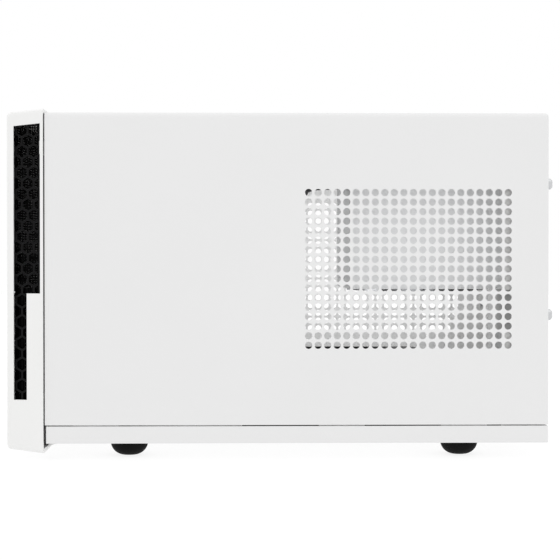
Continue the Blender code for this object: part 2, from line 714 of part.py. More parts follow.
def slot_covers():
    """Make the plates that close the two expansion slots."""
    outer = REAR_INNER - GAP
    for name, x in zip(("inner", "outer"), slot_places()):
        half = SLOT_WIDTH / 2 + 0.8
        top = SLOT_BASE + SLOT_HEIGHT + 4.0
        plate = block((x - half, outer - SHEET, SLOT_BASE - 1.0), (x + half, outer, top))
        tab = block((x - half, outer - 10.0, top - SHEET), (x + half, outer, top))
        part(f"slot_cover_{name}", fuse(plate, tab), "white_steel")


def side_rails():
    """Make the two angle rails that join the walls along the top."""
    top = CHASSIS_TOP - SHEET - GAP
    outer = CHASSIS_HALF - SHEET - GAP
    section = [(outer, top), (outer, top - RAIL_HEIGHT), (outer - SHEET, top - RAIL_HEIGHT),
               (outer - SHEET, top - SHEET), (outer - RAIL_WIDTH, top - SHEET), (outer - RAIL_WIDTH, top)]
    for name, side in (("right", 1), ("left", -1)):
        outline = [(side * x, z) for x, z in section]
        part(f"side_rail_{name}", prism(outline, "Y", WALL_BACK + GAP, REAR_INNER - GAP), "white_steel")


def drive_bay():
    """Make the bracket that hangs from the rails, and the drive on it."""
    rail_under = CHASSIS_TOP - 2 * SHEET - 2 * GAP
    outer = CHASSIS_HALF - SHEET - GAP - SHEET - FIT
    leg = CHASSIS_HALF - SHEET - GAP - RAIL_WIDTH - FIT
    floor = rail_under - 18.0
    half = [(leg, floor), (leg, rail_under - SHEET), (outer, rail_under - SHEET), (outer, rail_under),
            (leg - SHEET, rail_under), (leg - SHEET, floor + SHEET)]
    outline = half + [(-x, z) for x, z in reversed(half)]
    start = FRONT + DRIVE_SETBACK
    bracket = prism(outline, "Y", start - 4.0, start + DRIVE_SIZE[1] + 1.0)
    part("drive_bracket", bracket, "white_steel")
    low = (-DRIVE_SIZE[0] / 2, start, floor + SHEET + GAP)
    drive = block(low, (DRIVE_SIZE[0] / 2, start + DRIVE_SIZE[1], low[2] + DRIVE_SIZE[2]))
    part("solid_state_drive", softened(drive, 1.0), "pale_steel")


# ---------------------------------------------------------------- fans

def fan_bore(side):
    """Return the radius of a fan frame's bore."""
    return side / 2 - 2.5


def fan_hub(side):
    """Return the radius of a fan's hub."""
    return 0.19 * side


def fan_frame(name, size, centre, axis, start):
    """Make a square fan frame with its bore, fixing holes, motor seat and struts."""
    side, depth = size
    half, cut = side / 2, 5.0
    corners = [(-half + cut, -half), (half - cut, -half), (half, -half + cut), (half, half - cut),
               (half - cut, half), (-half + cut, half), (-half, half - cut), (-half, -half + cut)]
    end = start + depth
    frame = prism([(centre[0] + u, centre[1] + v) for u, v in corners], axis, start, end)
    carve(frame, rod(centre, axis, fan_bore(side), start - 1.0, end + 1.0, 48))
    for u in (7.5 - half, half - 7.5):
        for v in (7.5 - half, half - 7.5):
            carve(frame, rod((centre[0] + u, centre[1] + v), axis, 2.2, start - 1.0, end + 1.0, 10))
    seat = rod(centre, axis, fan_hub(side), end - 2.5, end)
    for step in range(4):
        turn = math.pi / 4 + step * math.pi / 2
        along = (math.cos(turn), math.sin(turn))
        across = (-along[1], along[0])
        outline = [(centre[0] + reach * along[0] + width * across[0],
                    centre[1] + reach * along[1] + width * across[1])
                   for reach, width in ((0.6 * fan_hub(side), -1.6), (fan_bore(side) + 1.0, -1.6),
                                        (fan_bore(side) + 1.0, 1.6), (0.6 * fan_hub(side), 1.6))]
        fuse(seat, prism(outline, axis, end - 2.5, end - 0.2))
    part(name, fuse(frame, seat), "black_plastic")


def fan_blade(centre, axis, radii, depths, turn):
    """Make one swept blade between two radii and two depths."""
    bm = bmesh.new()
    rows = []
    steps = 4
    for step in range(steps + 1):
        share = step / steps
        radius = radii[0] + (radii[1] - radii[0]) * share
        middle = turn + 0.35 * share
        corners = ((-0.24, depths[0]), (-0.24 + 1.4 / radius, depths[0]),
                   (0.24 + 1.4 / radius, depths[1]), (0.24, depths[1]))
        rows.append([bm.verts.new(placed(axis, centre[0] + radius * math.cos(middle + swing),
                                         centre[1] + radius * math.sin(middle + swing), along))
                     for swing, along in corners])
    bm.faces.new(rows[0])
    bm.faces.new(rows[-1])
    for first, second in zip(rows, rows[1:]):
        for index in range(4):
            bm.faces.new((first[index - 1], first[index], second[index], second[index - 1]))
    bmesh.ops.triangulate(bm, faces=bm.faces)
    return shape_from(bm)


def fan_rotor(name, size, centre, axis, start, blades):
    """Make a fan's hub and blades, with its origin on the axis."""
    side, depth = size
    low, high = start + 2.0, start + depth - 2.5 - 1.0
    hub = fan_hub(side)
    profile = [(0.0, low), (hub - 2.0, low), (hub, low + 2.0), (hub, high), (0.0, high)]
    rotor = turned(profile, centre, axis)
    for step in range(blades):
        radii = (hub - 1.5, fan_bore(side) - 1.2)
        fuse(rotor, fan_blade(centre, axis, radii, (low + 1.0, high - 0.5), 2 * math.pi * step / blades))
    pivot = [value / MM for value in placed(axis, centre[0], centre[1], (low + high) / 2)]
    part(name, rotor, "black_plastic", pivot=pivot, smooth=True)


def fans():
    """Make the three fans: behind the front wall, on the cooler and in the supply."""
    start = WALL_BACK + GAP
    fan_frame("front_fan_frame", FRONT_FAN, (FAN_X, FAN_Z), "Y", start)
    fan_rotor("front_fan_rotor", FRONT_FAN, (FAN_X, FAN_Z), "Y", start, 7)
    start = COOLER_FLOOR + COOLER_BASE + COOLER_FIN_HEIGHT + GAP
    fan_frame("cooler_fan_frame", COOLER_FAN, (COOLER_X, COOLER_Y), "Z", start)
    fan_rotor("cooler_fan_rotor", COOLER_FAN, (COOLER_X, COOLER_Y), "Z", start, 7)
    start = SUPPLY_BASE + SHEET + GAP
    fan_frame("supply_fan_frame", SUPPLY_FAN, (SUPPLY_CENTRE_X, SUPPLY_FAN_Y), "Z", start)
    fan_rotor("supply_fan_rotor", SUPPLY_FAN, (SUPPLY_CENTRE_X, SUPPLY_FAN_Y), "Z", start, 7)


# ---------------------------------------------------------------- main board

# Name, distance from the board's left edge, width and height of each port block, and its sockets,
# each with its place in the block and its size; a socket as wide as it is high is round
PORT_BLOCKS = (
    ("audio_ports", 14.0, 37.5, 12.6, ((4.2, 3.9, 4.4, 4.4), (16.5, 3.9, 4.4, 4.4), (28.8, 3.9, 4.4, 4.4))),
    ("network_port", 58.0, 16.5, 27.5, ((2.2, 15.6, 12.1, 9.8), (1.7, 1.6, 13.1, 5.2),
                                        (1.7, 8.2, 13.1, 5.2))),
    ("usb_stack", 80.0, 14.8, 30.2, ((0.8, 1.5, 13.2, 5.2), (0.8, 8.6, 13.2, 5.2),
                                     (0.8, 15.7, 13.2, 5.2), (0.8, 22.8, 13.2, 5.2))),
    ("video_ports", 101.0, 17.8, 20.2, ((1.3, 12.4, 15.2, 5.4), (0.8, 2.4, 16.2, 5.4))),
)
PORT_DEPTH = 18.0
SOCKET_DEPTH = 11.0
PORT_PROUD = 0.6


def comb(low, high, base, fins):
    """Return the section of a finned block: a base with upright fins."""
    pitch = (high[0] - low[0]) / (fins - 0.55)
    outline = [(high[0], low[1]), (low[0], low[1])]
    for step in range(fins):
        left = low[0] + step * pitch
        right = min(left + 0.45 * pitch, high[0])
        if step:
            outline.append((left, low[1] + base))
        outline += [(left, high[1]), (right, high[1])]
        if step < fins - 1:
            outline.append((right, low[1] + base))
    return outline


def port_blocks():
    """Make the rear port blocks and the shield plate round them."""
    shield = block((APERTURE_LEFT + GAP, REAR_INNER + 0.1, APERTURE_BASE + GAP),
                   (APERTURE_RIGHT - GAP, REAR_OUTER - 0.1, APERTURE_TOP - GAP))
    front = REAR_OUTER + PORT_PROUD
    for name, offset, width, height, sockets in PORT_BLOCKS:
        left = BOARD_LEFT + offset
        low, high = (left, BOARD_REAR - PORT_DEPTH, ON_BOARD), (left + width, front, ON_BOARD + height)
        body = block(low, high)
        for x, z, wide, tall in sockets:
            start, end = front - SOCKET_DEPTH, front + 1.0
            if wide == tall:
                place = (left + x + wide / 2, ON_BOARD + z + tall / 2)
                carve(body, rod(place, "Y", wide / 2, start, end, 16))
            else:
                carve(body, block((left + x, start, ON_BOARD + z),
                                  (left + x + wide, end, ON_BOARD + z + tall)))
        part(name, body, "black_plastic" if name == "audio_ports" else "bright_steel")
        carve(shield, block((low[0] - FIT, REAR_INNER - 2.0, low[2] - FIT),
                            (high[0] + FIT, REAR_OUTER + 2.0, high[2] + FIT)))
    part("port_shield", shield, "pale_steel")


def memory():
    """Make the double memory socket and the two modules that stand in it."""
    middle = BOARD_LEFT + 76.0
    half = MODULE_LENGTH / 2
    first = BOARD_FRONT + 6.0
    sockets = block((middle - half - 3.5, first - 3.2, ON_BOARD),
                    (middle + half + 3.5, first + MODULE_PITCH + 3.2, ON_BOARD + 8.0))
    for step, name in enumerate(("front", "rear")):
        y = first + step * MODULE_PITCH
        carve(sockets, block((middle - half - GAP, y - 1.0, ON_BOARD + 3.0),
                             (middle + half + GAP, y + 1.0, ON_BOARD + 9.0)))
        base = ON_BOARD + 3.0 + GAP
        module = block((middle - half, y - 0.65, base), (middle + half, y + 0.65, base + MODULE_HEIGHT))
        part(f"memory_module_{name}", module, "circuit")
    part("memory_sockets", sockets, "black_plastic")


def main_board():
    """Make the main board with its processor, cooler, card slot and power socket."""
    board = block((BOARD_LEFT, BOARD_FRONT, BOARD_BASE), (BOARD_RIGHT, BOARD_REAR, BOARD_TOP))
    for place in board_holes():
        carve(board, rod(place, "Z", 1.9, BOARD_BASE - 2.0, BOARD_TOP + 2.0, 16))
    part("main_board", board, "circuit")
    chip_top = COOLER_FLOOR - GAP
    chip = block((COOLER_X - 18.8, COOLER_Y - 18.8, ON_BOARD), (COOLER_X + 18.8, COOLER_Y + 18.8, chip_top))
    part("processor", chip, "pale_steel")
    half = COOLER_SIDE / 2 - 1.0
    low = (COOLER_X - half, COOLER_FLOOR)
    high = (COOLER_X + half, COOLER_FLOOR + COOLER_BASE + COOLER_FIN_HEIGHT)
    fins = prism(comb(low, high, COOLER_BASE, COOLER_FINS), "Y", COOLER_Y - half, COOLER_Y + half)
    part("cooler_heatsink", fins, "aluminium")
    slot = block((SLOT_X - 3.7, BOARD_REAR - 114.0, ON_BOARD),
                 (SLOT_X + 3.7, BOARD_REAR - 25.0, ON_BOARD + 11.2))
    carve(slot, block((SLOT_X - 0.9, BOARD_REAR - 112.0, ON_BOARD + 4.0),
                      (SLOT_X + 0.9, BOARD_REAR - 27.0, ON_BOARD + 12.2)))
    part("card_slot", slot, "black_plastic")
    socket_low = (BOARD_RIGHT - 11.4, BOARD_FRONT + 4.0)
    socket_high = (BOARD_RIGHT - 1.6, BOARD_FRONT + 56.0)
    seam = ON_BOARD + 13.0
    part("power_socket", block((*socket_low, ON_BOARD), (*socket_high, seam)), "black_plastic")
    plug = block((*socket_low, seam + GAP), (*socket_high, seam + GAP + 14.0))
    part("power_plug", softened(plug, 1.0), "black_plastic")


# ---------------------------------------------------------------- power supply

# Where the supply's cable leaves its case, across and up
CABLE_OUTLET = (SUPPLY_RIGHT - 26.0, SUPPLY_TOP - 5.0)
OUTLET_RADIUS = 4.2
POWER_CABLE = 7.0


def power_supply():
    """Make the supply's case, its mounting plate, fan guard, mains inlet and switch."""
    inner = SUPPLY_REAR - SHEET
    case = block((SUPPLY_LEFT, SUPPLY_FRONT, SUPPLY_BASE), (SUPPLY_RIGHT, SUPPLY_REAR, SUPPLY_TOP))
    carve(case, block((SUPPLY_LEFT + SHEET, SUPPLY_FRONT + SHEET, SUPPLY_BASE + SHEET),
                      (SUPPLY_RIGHT - SHEET, inner, SUPPLY_TOP - SHEET)))
    fan_place = (SUPPLY_CENTRE_X, SUPPLY_FAN_Y)
    carve(case, rod(fan_place, "Z", fan_bore(SUPPLY_FAN[0]), SUPPLY_BASE - 1.0, SUPPLY_BASE + 2.0, 40))
    for place, size in ((INLET_PLACE, INLET_SIZE), (ROCKER_PLACE, ROCKER_SIZE)):
        half_x, half_z = size[0] / 2 + FIT, size[1] / 2 + FIT
        carve(case, block((place[0] - half_x, inner - 2.0, place[1] - half_z),
                          (place[0] + half_x, SUPPLY_REAR + 2.0, place[1] + half_z)))
    carve(case, rod(CABLE_OUTLET, "Y", OUTLET_RADIUS, SUPPLY_FRONT - 2.0, SUPPLY_FRONT + 4.0))
    part("supply_case", case, "pale_steel")

    left = SUPPLY_CENTRE_X - ADAPTER_SIZE[0] / 2
    start = REAR_OUTER + GAP
    plate = block((left, start, ADAPTER_BASE),
                  (left + ADAPTER_SIZE[0], start + SHEET, ADAPTER_BASE + ADAPTER_SIZE[1]))
    carve(plate, block((SUPPLY_LEFT + 4.0, start - 2.0, SUPPLY_BASE + 3.0),
                       (SUPPLY_RIGHT - 4.0, start + 3.0, SUPPLY_TOP - 3.0)))
    part("supply_plate", plate, "white_steel")

    top = SUPPLY_BASE - GAP
    guard = rod(fan_place, "Z", 5.0, top - 1.4, top)
    for radius in (15.0, 25.0, 35.0):
        ring = rod(fan_place, "Z", radius + 0.8, top - 1.4, top, 40)
        fuse(guard, carve(ring, rod(fan_place, "Z", radius - 0.8, top - 3.0, top + 2.0, 40)))
    x, y = fan_place
    fuse(guard, block((x - 40.0, y - 0.8, top - 1.2), (x + 40.0, y + 0.8, top - 0.2)))
    fuse(guard, block((x - 0.8, y - 40.0, top - 1.2), (x + 0.8, y + 40.0, top - 0.2)))
    part("supply_fan_guard", guard, "bright_steel")

    x, z = INLET_PLACE
    face = SUPPLY_REAR + 2.6
    half_x, half_z = INLET_SIZE[0] / 2, INLET_SIZE[1] / 2
    inlet = block((x - half_x, SUPPLY_REAR - 17.0, z - half_z), (x + half_x, face, z + half_z))
    rim = block((x - half_x - 1.6, SUPPLY_REAR + GAP, z - half_z - 1.6),
                (x + half_x + 1.6, face, z + half_z + 1.6))
    fuse(inlet, rim)
    carve(inlet, block((x - 12.2, face - 15.0, z - 8.2), (x + 12.2, face + 1.0, z + 8.2)))
    part("mains_inlet", inlet, "black_plastic")
    rocker()


def rocker():
    """Make the supply's rocker switch, tipped to one side, with its origin on its pivot."""
    x, z = ROCKER_PLACE
    pivot_y = SUPPLY_REAR - 0.5
    half = ROCKER_SIZE[1] / 2 - FIT
    outline = [(1.4, 0.0), (2.7, half), (-2.6, half - 1.4), (-4.6, 0.0), (-2.6, 1.4 - half), (2.7, -half)]
    turn = math.radians(ROCKER_ANGLE)
    tipped = [(pivot_y + y * math.cos(turn) - rise * math.sin(turn),
               z + y * math.sin(turn) + rise * math.cos(turn)) for y, rise in outline]
    shape = prism(tipped, "X", x - ROCKER_SIZE[0] / 2, x + ROCKER_SIZE[0] / 2)
    part("supply_switch", shape, "black_plastic", pivot=(x, pivot_y, z))


# ---------------------------------------------------------------- cables

def cables():
    """Make the inner cables, each along the route that it is tied to."""
    plug_x, plug_top = BOARD_RIGHT - 6.5, ON_BOARD + 13.0 + GAP + 14.0
    x, z = CABLE_OUTLET
    lead("power_cable", [(x, SUPPLY_FRONT + 6.0, z), (x, SUPPLY_FRONT - 8.0, z), (x + 10.0, 8.0, z - 5.0),
                         (x + 26.0, -5.0, z - 32.0), (plug_x - 0.5, -7.0, plug_top + 33.0),
                         (plug_x, -6.0, plug_top + 10.0), (plug_x, -6.0, plug_top + GAP)], POWER_CABLE)
    drive_rear = FRONT + DRIVE_SETBACK + DRIVE_SIZE[1]
    drive_z = CHASSIS_TOP - 16.0
    lead("drive_cable", [(-20.0, drive_rear + 0.5, drive_z), (-22.0, drive_rear + 5.5, drive_z - 0.5),
                         (-31.0, drive_rear + 8.0, drive_z - 7.6), (-44.0, drive_rear + 4.5, drive_z - 18.6),
                         (-58.0, drive_rear - 7.5, drive_z - 46.6), (-65.0, -6.0, ON_BOARD + 62.3),
                         (-64.0, -11.5, ON_BOARD + 22.3), (-62.0, -12.0, ON_BOARD + 1.0)], 4.0)
    x = PANEL_X
    lead("front_panel_cable", [(x, CIRCUIT_BACK + 0.6, 48.0), (x, -112.0, 47.5), (x - 2.0, -95.0, 40.0),
                               (x - 4.0, -70.0, 29.0), (x - 5.0, -48.0, 25.0), (x - 5.0, -32.0, 25.5),
                               (x - 5.0, -25.5, ON_BOARD + 1.0)], 4.0)


def build():
    """Make every piece of the computer."""
    for obj in list(bpy.data.objects):
        bpy.data.objects.remove(obj)
    front_bezel()
    front_sheets()
    front_ports()
    top_cover()
    cover_screws()
    base_pan()
    feet()
    front_wall()
    rear_wall()
    slot_covers()
    side_rails()
    drive_bay()
    fans()
    port_blocks()
    memory()
    main_board()
    power_supply()
    cables()


build()
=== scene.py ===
"""The looks of a compact white desktop computer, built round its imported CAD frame.

Every finished piece keeps its object at the origin, in metres, with its place in its mesh.
"""

import json
import logging
import math
from dataclasses import dataclass
from enum import Enum
from typing import Sequence

import bmesh
import bpy
from mathutils import Matrix, Vector


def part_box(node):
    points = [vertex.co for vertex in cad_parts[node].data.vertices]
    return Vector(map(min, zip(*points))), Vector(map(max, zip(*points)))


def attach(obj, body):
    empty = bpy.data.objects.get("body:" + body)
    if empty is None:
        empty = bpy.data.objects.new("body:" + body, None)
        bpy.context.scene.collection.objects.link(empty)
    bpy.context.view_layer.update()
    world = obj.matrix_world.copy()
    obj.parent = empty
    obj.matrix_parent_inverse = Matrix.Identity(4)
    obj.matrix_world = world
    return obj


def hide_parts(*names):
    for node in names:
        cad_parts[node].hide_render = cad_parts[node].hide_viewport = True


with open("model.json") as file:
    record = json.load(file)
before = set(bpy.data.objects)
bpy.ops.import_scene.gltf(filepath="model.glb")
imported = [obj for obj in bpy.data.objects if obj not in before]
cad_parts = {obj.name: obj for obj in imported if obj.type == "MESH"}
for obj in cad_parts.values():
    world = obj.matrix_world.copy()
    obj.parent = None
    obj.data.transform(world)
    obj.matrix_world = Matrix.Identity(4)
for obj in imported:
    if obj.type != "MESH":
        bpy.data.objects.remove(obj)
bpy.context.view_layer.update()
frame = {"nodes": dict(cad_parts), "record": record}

log = logging.getLogger("computer")
MM = 0.001
# Edges sharper than this stay crisp when a piece is shaded smooth, in degrees
CREASE = 32.0
# Edges sharper than this are rounded, in degrees
ROUND_FROM = 38.0
# Corners closer than this are one corner, in metres
SAME_PLACE = 0.000002
Point = tuple[float, float, float]
Corner = tuple[float, float]


class Slot(Enum):
    """The record's material slots."""

    WHITE_STEEL = "white_steel"
    WHITE_PLASTIC = "white_plastic"
    BLACK_PLASTIC = "black_plastic"
    FILTER = "filter_mesh"
    RUBBER = "rubber"
    PALE_STEEL = "pale_steel"
    BRIGHT_STEEL = "bright_steel"
    CIRCUIT = "circuit_board"
    ALUMINIUM = "aluminium"
    LENS = "clear_lens"
    SLEEVE = "cable_sleeve"


# ---------------------------------------------------------------- materials

def linear(colour: str, alpha: float = 1.0) -> tuple[float, float, float, float]:
    """Turn an sRGB hex colour into linear values.

    Args:
        colour: the colour as "#RRGGBB".
        alpha: the fourth value.

    Returns:
        Linear red, green and blue, and alpha.
    """
    channels = [int(colour[place:place + 2], 16) / 255 for place in (1, 3, 5)]
    red, green, blue = [c / 12.92 if c <= 0.04045 else ((c + 0.055) / 1.055) ** 2.4 for c in channels]
    return red, green, blue, alpha


def add_node(tree: bpy.types.NodeTree, kind: str, settings: dict | None = None,
             links: dict | None = None) -> bpy.types.Node:
    """Add a node with its settings, its input values and its links.

    Args:
        tree: the node tree to add to.
        kind: the node's type name.
        settings: attributes, or input sockets by name or number, and their values.
        links: input sockets by name or number, and the output sockets that feed them.

    Returns:
        The new node.
    """
    node = tree.nodes.new(kind)
    for name, value in (settings or {}).items():
        if isinstance(name, str) and hasattr(node, name):
            setattr(node, name, value)
        else:
            node.inputs[name].default_value = value
    for name, source in (links or {}).items():
        tree.links.new(source, node.inputs[name])
    return node


def new_material(name: str) -> tuple[bpy.types.Material, bpy.types.NodeTree, bpy.types.Node]:
    """Make a material and return it with its tree and its Principled shader."""
    material = bpy.data.materials.new(name)
    material.use_nodes = True
    return material, material.node_tree, material.node_tree.nodes["Principled BSDF"]


def object_point(tree: bpy.types.NodeTree, scale: Point = (1.0, 1.0, 1.0)) -> bpy.types.NodeSocket:
    """Return the Object coordinate, stretched by a scale."""
    place = add_node(tree, "ShaderNodeTexCoord")
    mapping = add_node(tree, "ShaderNodeMapping", {"Scale": scale}, {"Vector": place.outputs["Object"]})
    return mapping.outputs["Vector"]


def per_metre(size_mm: float) -> float:
    """Return a texture scale that gives features of a size in millimetres."""
    return 1.0 / (size_mm * MM)


@dataclass(frozen=True)
class CoatedFinish:
    """An even coloured surface with a fine grain and slow changes of tone: paint or moulded plastic."""

    name: str
    colour: str
    shade: str
    roughness: float
    grain_mm: float
    grain_height_mm: float
    wave_mm: float = 60.0
    ior: float = 1.5
    specular: float = 0.5

    def build(self) -> bpy.types.Material:
        """Make the material."""
        material, tree, shader = new_material(self.name)
        shader.inputs["IOR"].default_value = self.ior
        shader.inputs["Specular IOR Level"].default_value = self.specular
        point = object_point(tree)
        slow = add_node(tree, "ShaderNodeTexNoise", {"Scale": per_metre(self.wave_mm), "Detail": 3.0},
                        {"Vector": point})
        tone = add_node(tree, "ShaderNodeMix",
                        {"data_type": "RGBA", 6: linear(self.colour), 7: linear(self.shade)},
                        {0: slow.outputs["Fac"]})
        tree.links.new(tone.outputs[2], shader.inputs["Base Color"])
        grain = add_node(tree, "ShaderNodeTexNoise", {"Scale": per_metre(self.grain_mm), "Detail": 2.0},
                         {"Vector": point})
        rough = add_node(tree, "ShaderNodeMapRange", {3: self.roughness - 0.05, 4: self.roughness + 0.05},
                         {0: grain.outputs["Fac"]})
        tree.links.new(rough.outputs[0], shader.inputs["Roughness"])
        bump = add_node(tree, "ShaderNodeBump", {"Strength": 0.35, "Distance": self.grain_height_mm * MM},
                        {"Height": grain.outputs["Fac"]})
        tree.links.new(bump.outputs["Normal"], shader.inputs["Normal"])
        return material


@dataclass(frozen=True)
class BrushedFinish:
    """A metal rubbed or rolled along one axis, with long fine lines."""

    name: str
    colour: str
    shade: str
    roughness: float
    line_mm: float
    stretch: Point

    def build(self) -> bpy.types.Material:
        """Make the material."""
        material, tree, shader = new_material(self.name)
        shader.inputs["Metallic"].default_value = 1.0
        lines = add_node(tree, "ShaderNodeTexNoise", {"Scale": per_metre(self.line_mm), "Detail": 3.0},
                         {"Vector": object_point(tree, self.stretch)})
        tone = add_node(tree, "ShaderNodeMix",
                        {"data_type": "RGBA", 6: linear(self.colour), 7: linear(self.shade)},
                        {0: lines.outputs["Fac"]})
        tree.links.new(tone.outputs[2], shader.inputs["Base Color"])
        rough = add_node(tree, "ShaderNodeMapRange", {3: self.roughness - 0.08, 4: self.roughness + 0.08},
                         {0: lines.outputs["Fac"]})
        tree.links.new(rough.outputs[0], shader.inputs["Roughness"])
        bump = add_node(tree, "ShaderNodeBump", {"Strength": 0.2, "Distance": 0.02 * MM},
                        {"Height": lines.outputs["Fac"]})
        tree.links.new(bump.outputs["Normal"], shader.inputs["Normal"])
        return material


@dataclass(frozen=True)
class SpangledFinish:
    """Hot-dipped zinc on steel, with the flat crystals that it sets in."""

    name: str
    colours: tuple[str, str]
    crystal_mm: float
    roughness: float

    def build(self) -> bpy.types.Material:
        """Make the material."""
        material, tree, shader = new_material(self.name)
        shader.inputs["Metallic"].default_value = 1.0
        cells = add_node(tree, "ShaderNodeTexVoronoi", {"Scale": per_metre(self.crystal_mm)},
                         {"Vector": object_point(tree)})
        one = add_node(tree, "ShaderNodeSeparateColor", {}, {0: cells.outputs["Color"]})
        tone = add_node(tree, "ShaderNodeMix",
                        {"data_type": "RGBA", 6: linear(self.colours[0]), 7: linear(self.colours[1])},
                        {0: one.outputs[0]})
        tree.links.new(tone.outputs[2], shader.inputs["Base Color"])
        rough = add_node(tree, "ShaderNodeMapRange", {3: self.roughness - 0.06, 4: self.roughness + 0.1},
                         {0: one.outputs[1]})
        tree.links.new(rough.outputs[0], shader.inputs["Roughness"])
        return material


@dataclass(frozen=True)
class CircuitFinish:
    """Solder mask on glass fibre laminate, with raised copper tracks in a grid of runs."""

    name: str
    mask: str
    track: str
    track_mm: float

    def build(self) -> bpy.types.Material:
        """Make the material."""
        material, tree, shader = new_material(self.name)
        shader.inputs["IOR"].default_value = 1.55
        shader.inputs["Roughness"].default_value = 0.32
        point = object_point(tree)
        runs = add_node(tree, "ShaderNodeTexVoronoi",
                        {"distance": "CHEBYCHEV", "Scale": per_metre(6 * self.track_mm)}, {"Vector": point})
        bands = add_node(tree, "ShaderNodeMath", {"operation": "SINE"},
                         {0: add_node(tree, "ShaderNodeMath", {"operation": "MULTIPLY", 1: 26.0},
                                      {0: runs.outputs["Distance"]}).outputs[0]})
        edge = add_node(tree, "ShaderNodeMapRange", {1: 0.3, 2: 0.5}, {0: bands.outputs[0]})
        tone = add_node(tree, "ShaderNodeMix",
                        {"data_type": "RGBA", 6: linear(self.mask), 7: linear(self.track)},
                        {0: edge.outputs[0]})
        tree.links.new(tone.outputs[2], shader.inputs["Base Color"])
        bump = add_node(tree, "ShaderNodeBump", {"Strength": 0.4, "Distance": 0.04 * MM},
                        {"Height": edge.outputs[0]})
        tree.links.new(bump.outputs["Normal"], shader.inputs["Normal"])
        return material


@dataclass(frozen=True)
class BraidFinish:
    """A braided cable sleeve: crossing strands that show as small diamonds."""

    name: str
    colour: str
    shade: str
    strand_mm: float

    def build(self) -> bpy.types.Material:
        """Make the material."""
        material, tree, shader = new_material(self.name)
        shader.inputs["Roughness"].default_value = 0.75
        shader.inputs["Sheen Weight"].default_value = 0.25
        weave = add_node(tree, "ShaderNodeTexVoronoi",
                         {"distance": "MANHATTAN", "Scale": per_metre(self.strand_mm)},
                         {"Vector": object_point(tree)})
        tone = add_node(tree, "ShaderNodeMix",
                        {"data_type": "RGBA", 6: linear(self.colour), 7: linear(self.shade)},
                        {0: weave.outputs["Distance"]})
        tree.links.new(tone.outputs[2], shader.inputs["Base Color"])
        bump = add_node(tree, "ShaderNodeBump", {"Strength": 0.7, "Distance": 0.15 * MM},
                        {"Height": weave.outputs["Distance"]})
        tree.links.new(bump.outputs["Normal"], shader.inputs["Normal"])
        return material


@dataclass(frozen=True)
class LensFinish:
    """A clear moulded light guide, slightly cloudy inside."""

    name: str
    colour: str

    def build(self) -> bpy.types.Material:
        """Make the material."""
        material, tree, shader = new_material(self.name)
        shader.inputs["IOR"].default_value = 1.49
        shader.inputs["Transmission Weight"].default_value = 0.6
        cloud = add_node(tree, "ShaderNodeTexNoise", {"Scale": per_metre(1.5)},
                         {"Vector": object_point(tree)})
        tone = add_node(tree, "ShaderNodeMix",
                        {"data_type": "RGBA", 6: linear(self.colour), 7: linear("#F4F8FA")},
                        {0: cloud.outputs["Fac"]})
        tree.links.new(tone.outputs[2], shader.inputs["Base Color"])
        rough = add_node(tree, "ShaderNodeMapRange", {3: 0.12, 4: 0.24}, {0: cloud.outputs["Fac"]})
        tree.links.new(rough.outputs[0], shader.inputs["Roughness"])
        return material


@dataclass(frozen=True)
class TableFinish:
    """A translucent studio table with its own even glow."""

    name: str
    colour: str
    glow: float

    def build(self) -> bpy.types.Material:
        """Make the material."""
        material, tree, shader = new_material(self.name)
        haze = add_node(tree, "ShaderNodeTexNoise", {"Scale": 1.2}, {"Vector": object_point(tree)})
        rough = add_node(tree, "ShaderNodeMapRange", {3: 0.7, 4: 0.8}, {0: haze.outputs["Fac"]})
        tree.links.new(rough.outputs[0], shader.inputs["Roughness"])
        shader.inputs["Base Color"].default_value = linear(self.colour)
        shader.inputs["Specular IOR Level"].default_value = 0.1
        shader.inputs["Emission Color"].default_value = (1.0, 1.0, 1.0, 1.0)
        shader.inputs["Emission Strength"].default_value = self.glow
        return material


Finish = (CoatedFinish | BrushedFinish | SpangledFinish | CircuitFinish | BraidFinish | LensFinish
          | TableFinish)

# Powder coat on steel: a soft white with the faint orange peel that baking leaves
POWDER_COAT = CoatedFinish("white_powder_coat", "#E8E8E8", "#E5E5E5", 0.42, 1.1, 0.05)
# The same coat on the inner sheets, a little greyer where it is thinner
INNER_COAT = CoatedFinish("inner_powder_coat", "#E6E6E5", "#DEDEDD", 0.48, 1.1, 0.05)
# ABS from a fine spark-eroded mould: satin, warmer than the coat
WHITE_ABS = CoatedFinish("white_moulded_abs", "#EEEEED", "#EBEBEA", 0.36, 0.8, 0.04, ior=1.53)
# Glass-filled nylon and PBT of fans, sockets and plugs: matt black
BLACK_NYLON = CoatedFinish("black_moulded_nylon", "#1B1B1D", "#151517", 0.48, 0.7, 0.04, ior=1.53)
# The honeycomb's ABS, blacker and a little glossier so that its webs catch an edge of light
GRILLE_ABS = CoatedFinish("black_honeycomb_abs", "#0E0E0F", "#0A0A0B", 0.42, 0.8, 0.03,
                          ior=1.53, specular=0.12)
# Nylon wire of the dust filter, dyed black and darkened further with painted shade, so that the spaces
# between the webs read as deep shaded holes
FILTER_WIRE_PAINTED_SHADE = CoatedFinish("black_filter_wire_painted_shade", "#020202", "#010101", 0.25, 0.4, 0.02, specular=0.06)
# Natural rubber feet: nearly black, with a dull bloom
FOOT_RUBBER = CoatedFinish("black_rubber", "#060606", "#0B0B0B", 0.72, 0.9, 0.08, 9.0, 1.52, 0.12)
# Nickel plate on the sockets' shells and on screws: bright, with the draw lines of the press
NICKEL = BrushedFinish("nickel_plated_steel", "#B9BABC", "#A6A7A9", 0.26, 0.5, (1.0, 0.08, 1.0))
# Extruded aluminium of the coolers' fins and of the capacitors' cans: a soft long streak
ALUMINIUM = BrushedFinish("extruded_aluminium", "#C6C8CA", "#B2B4B6", 0.34, 0.6, (1.0, 0.05, 1.0))
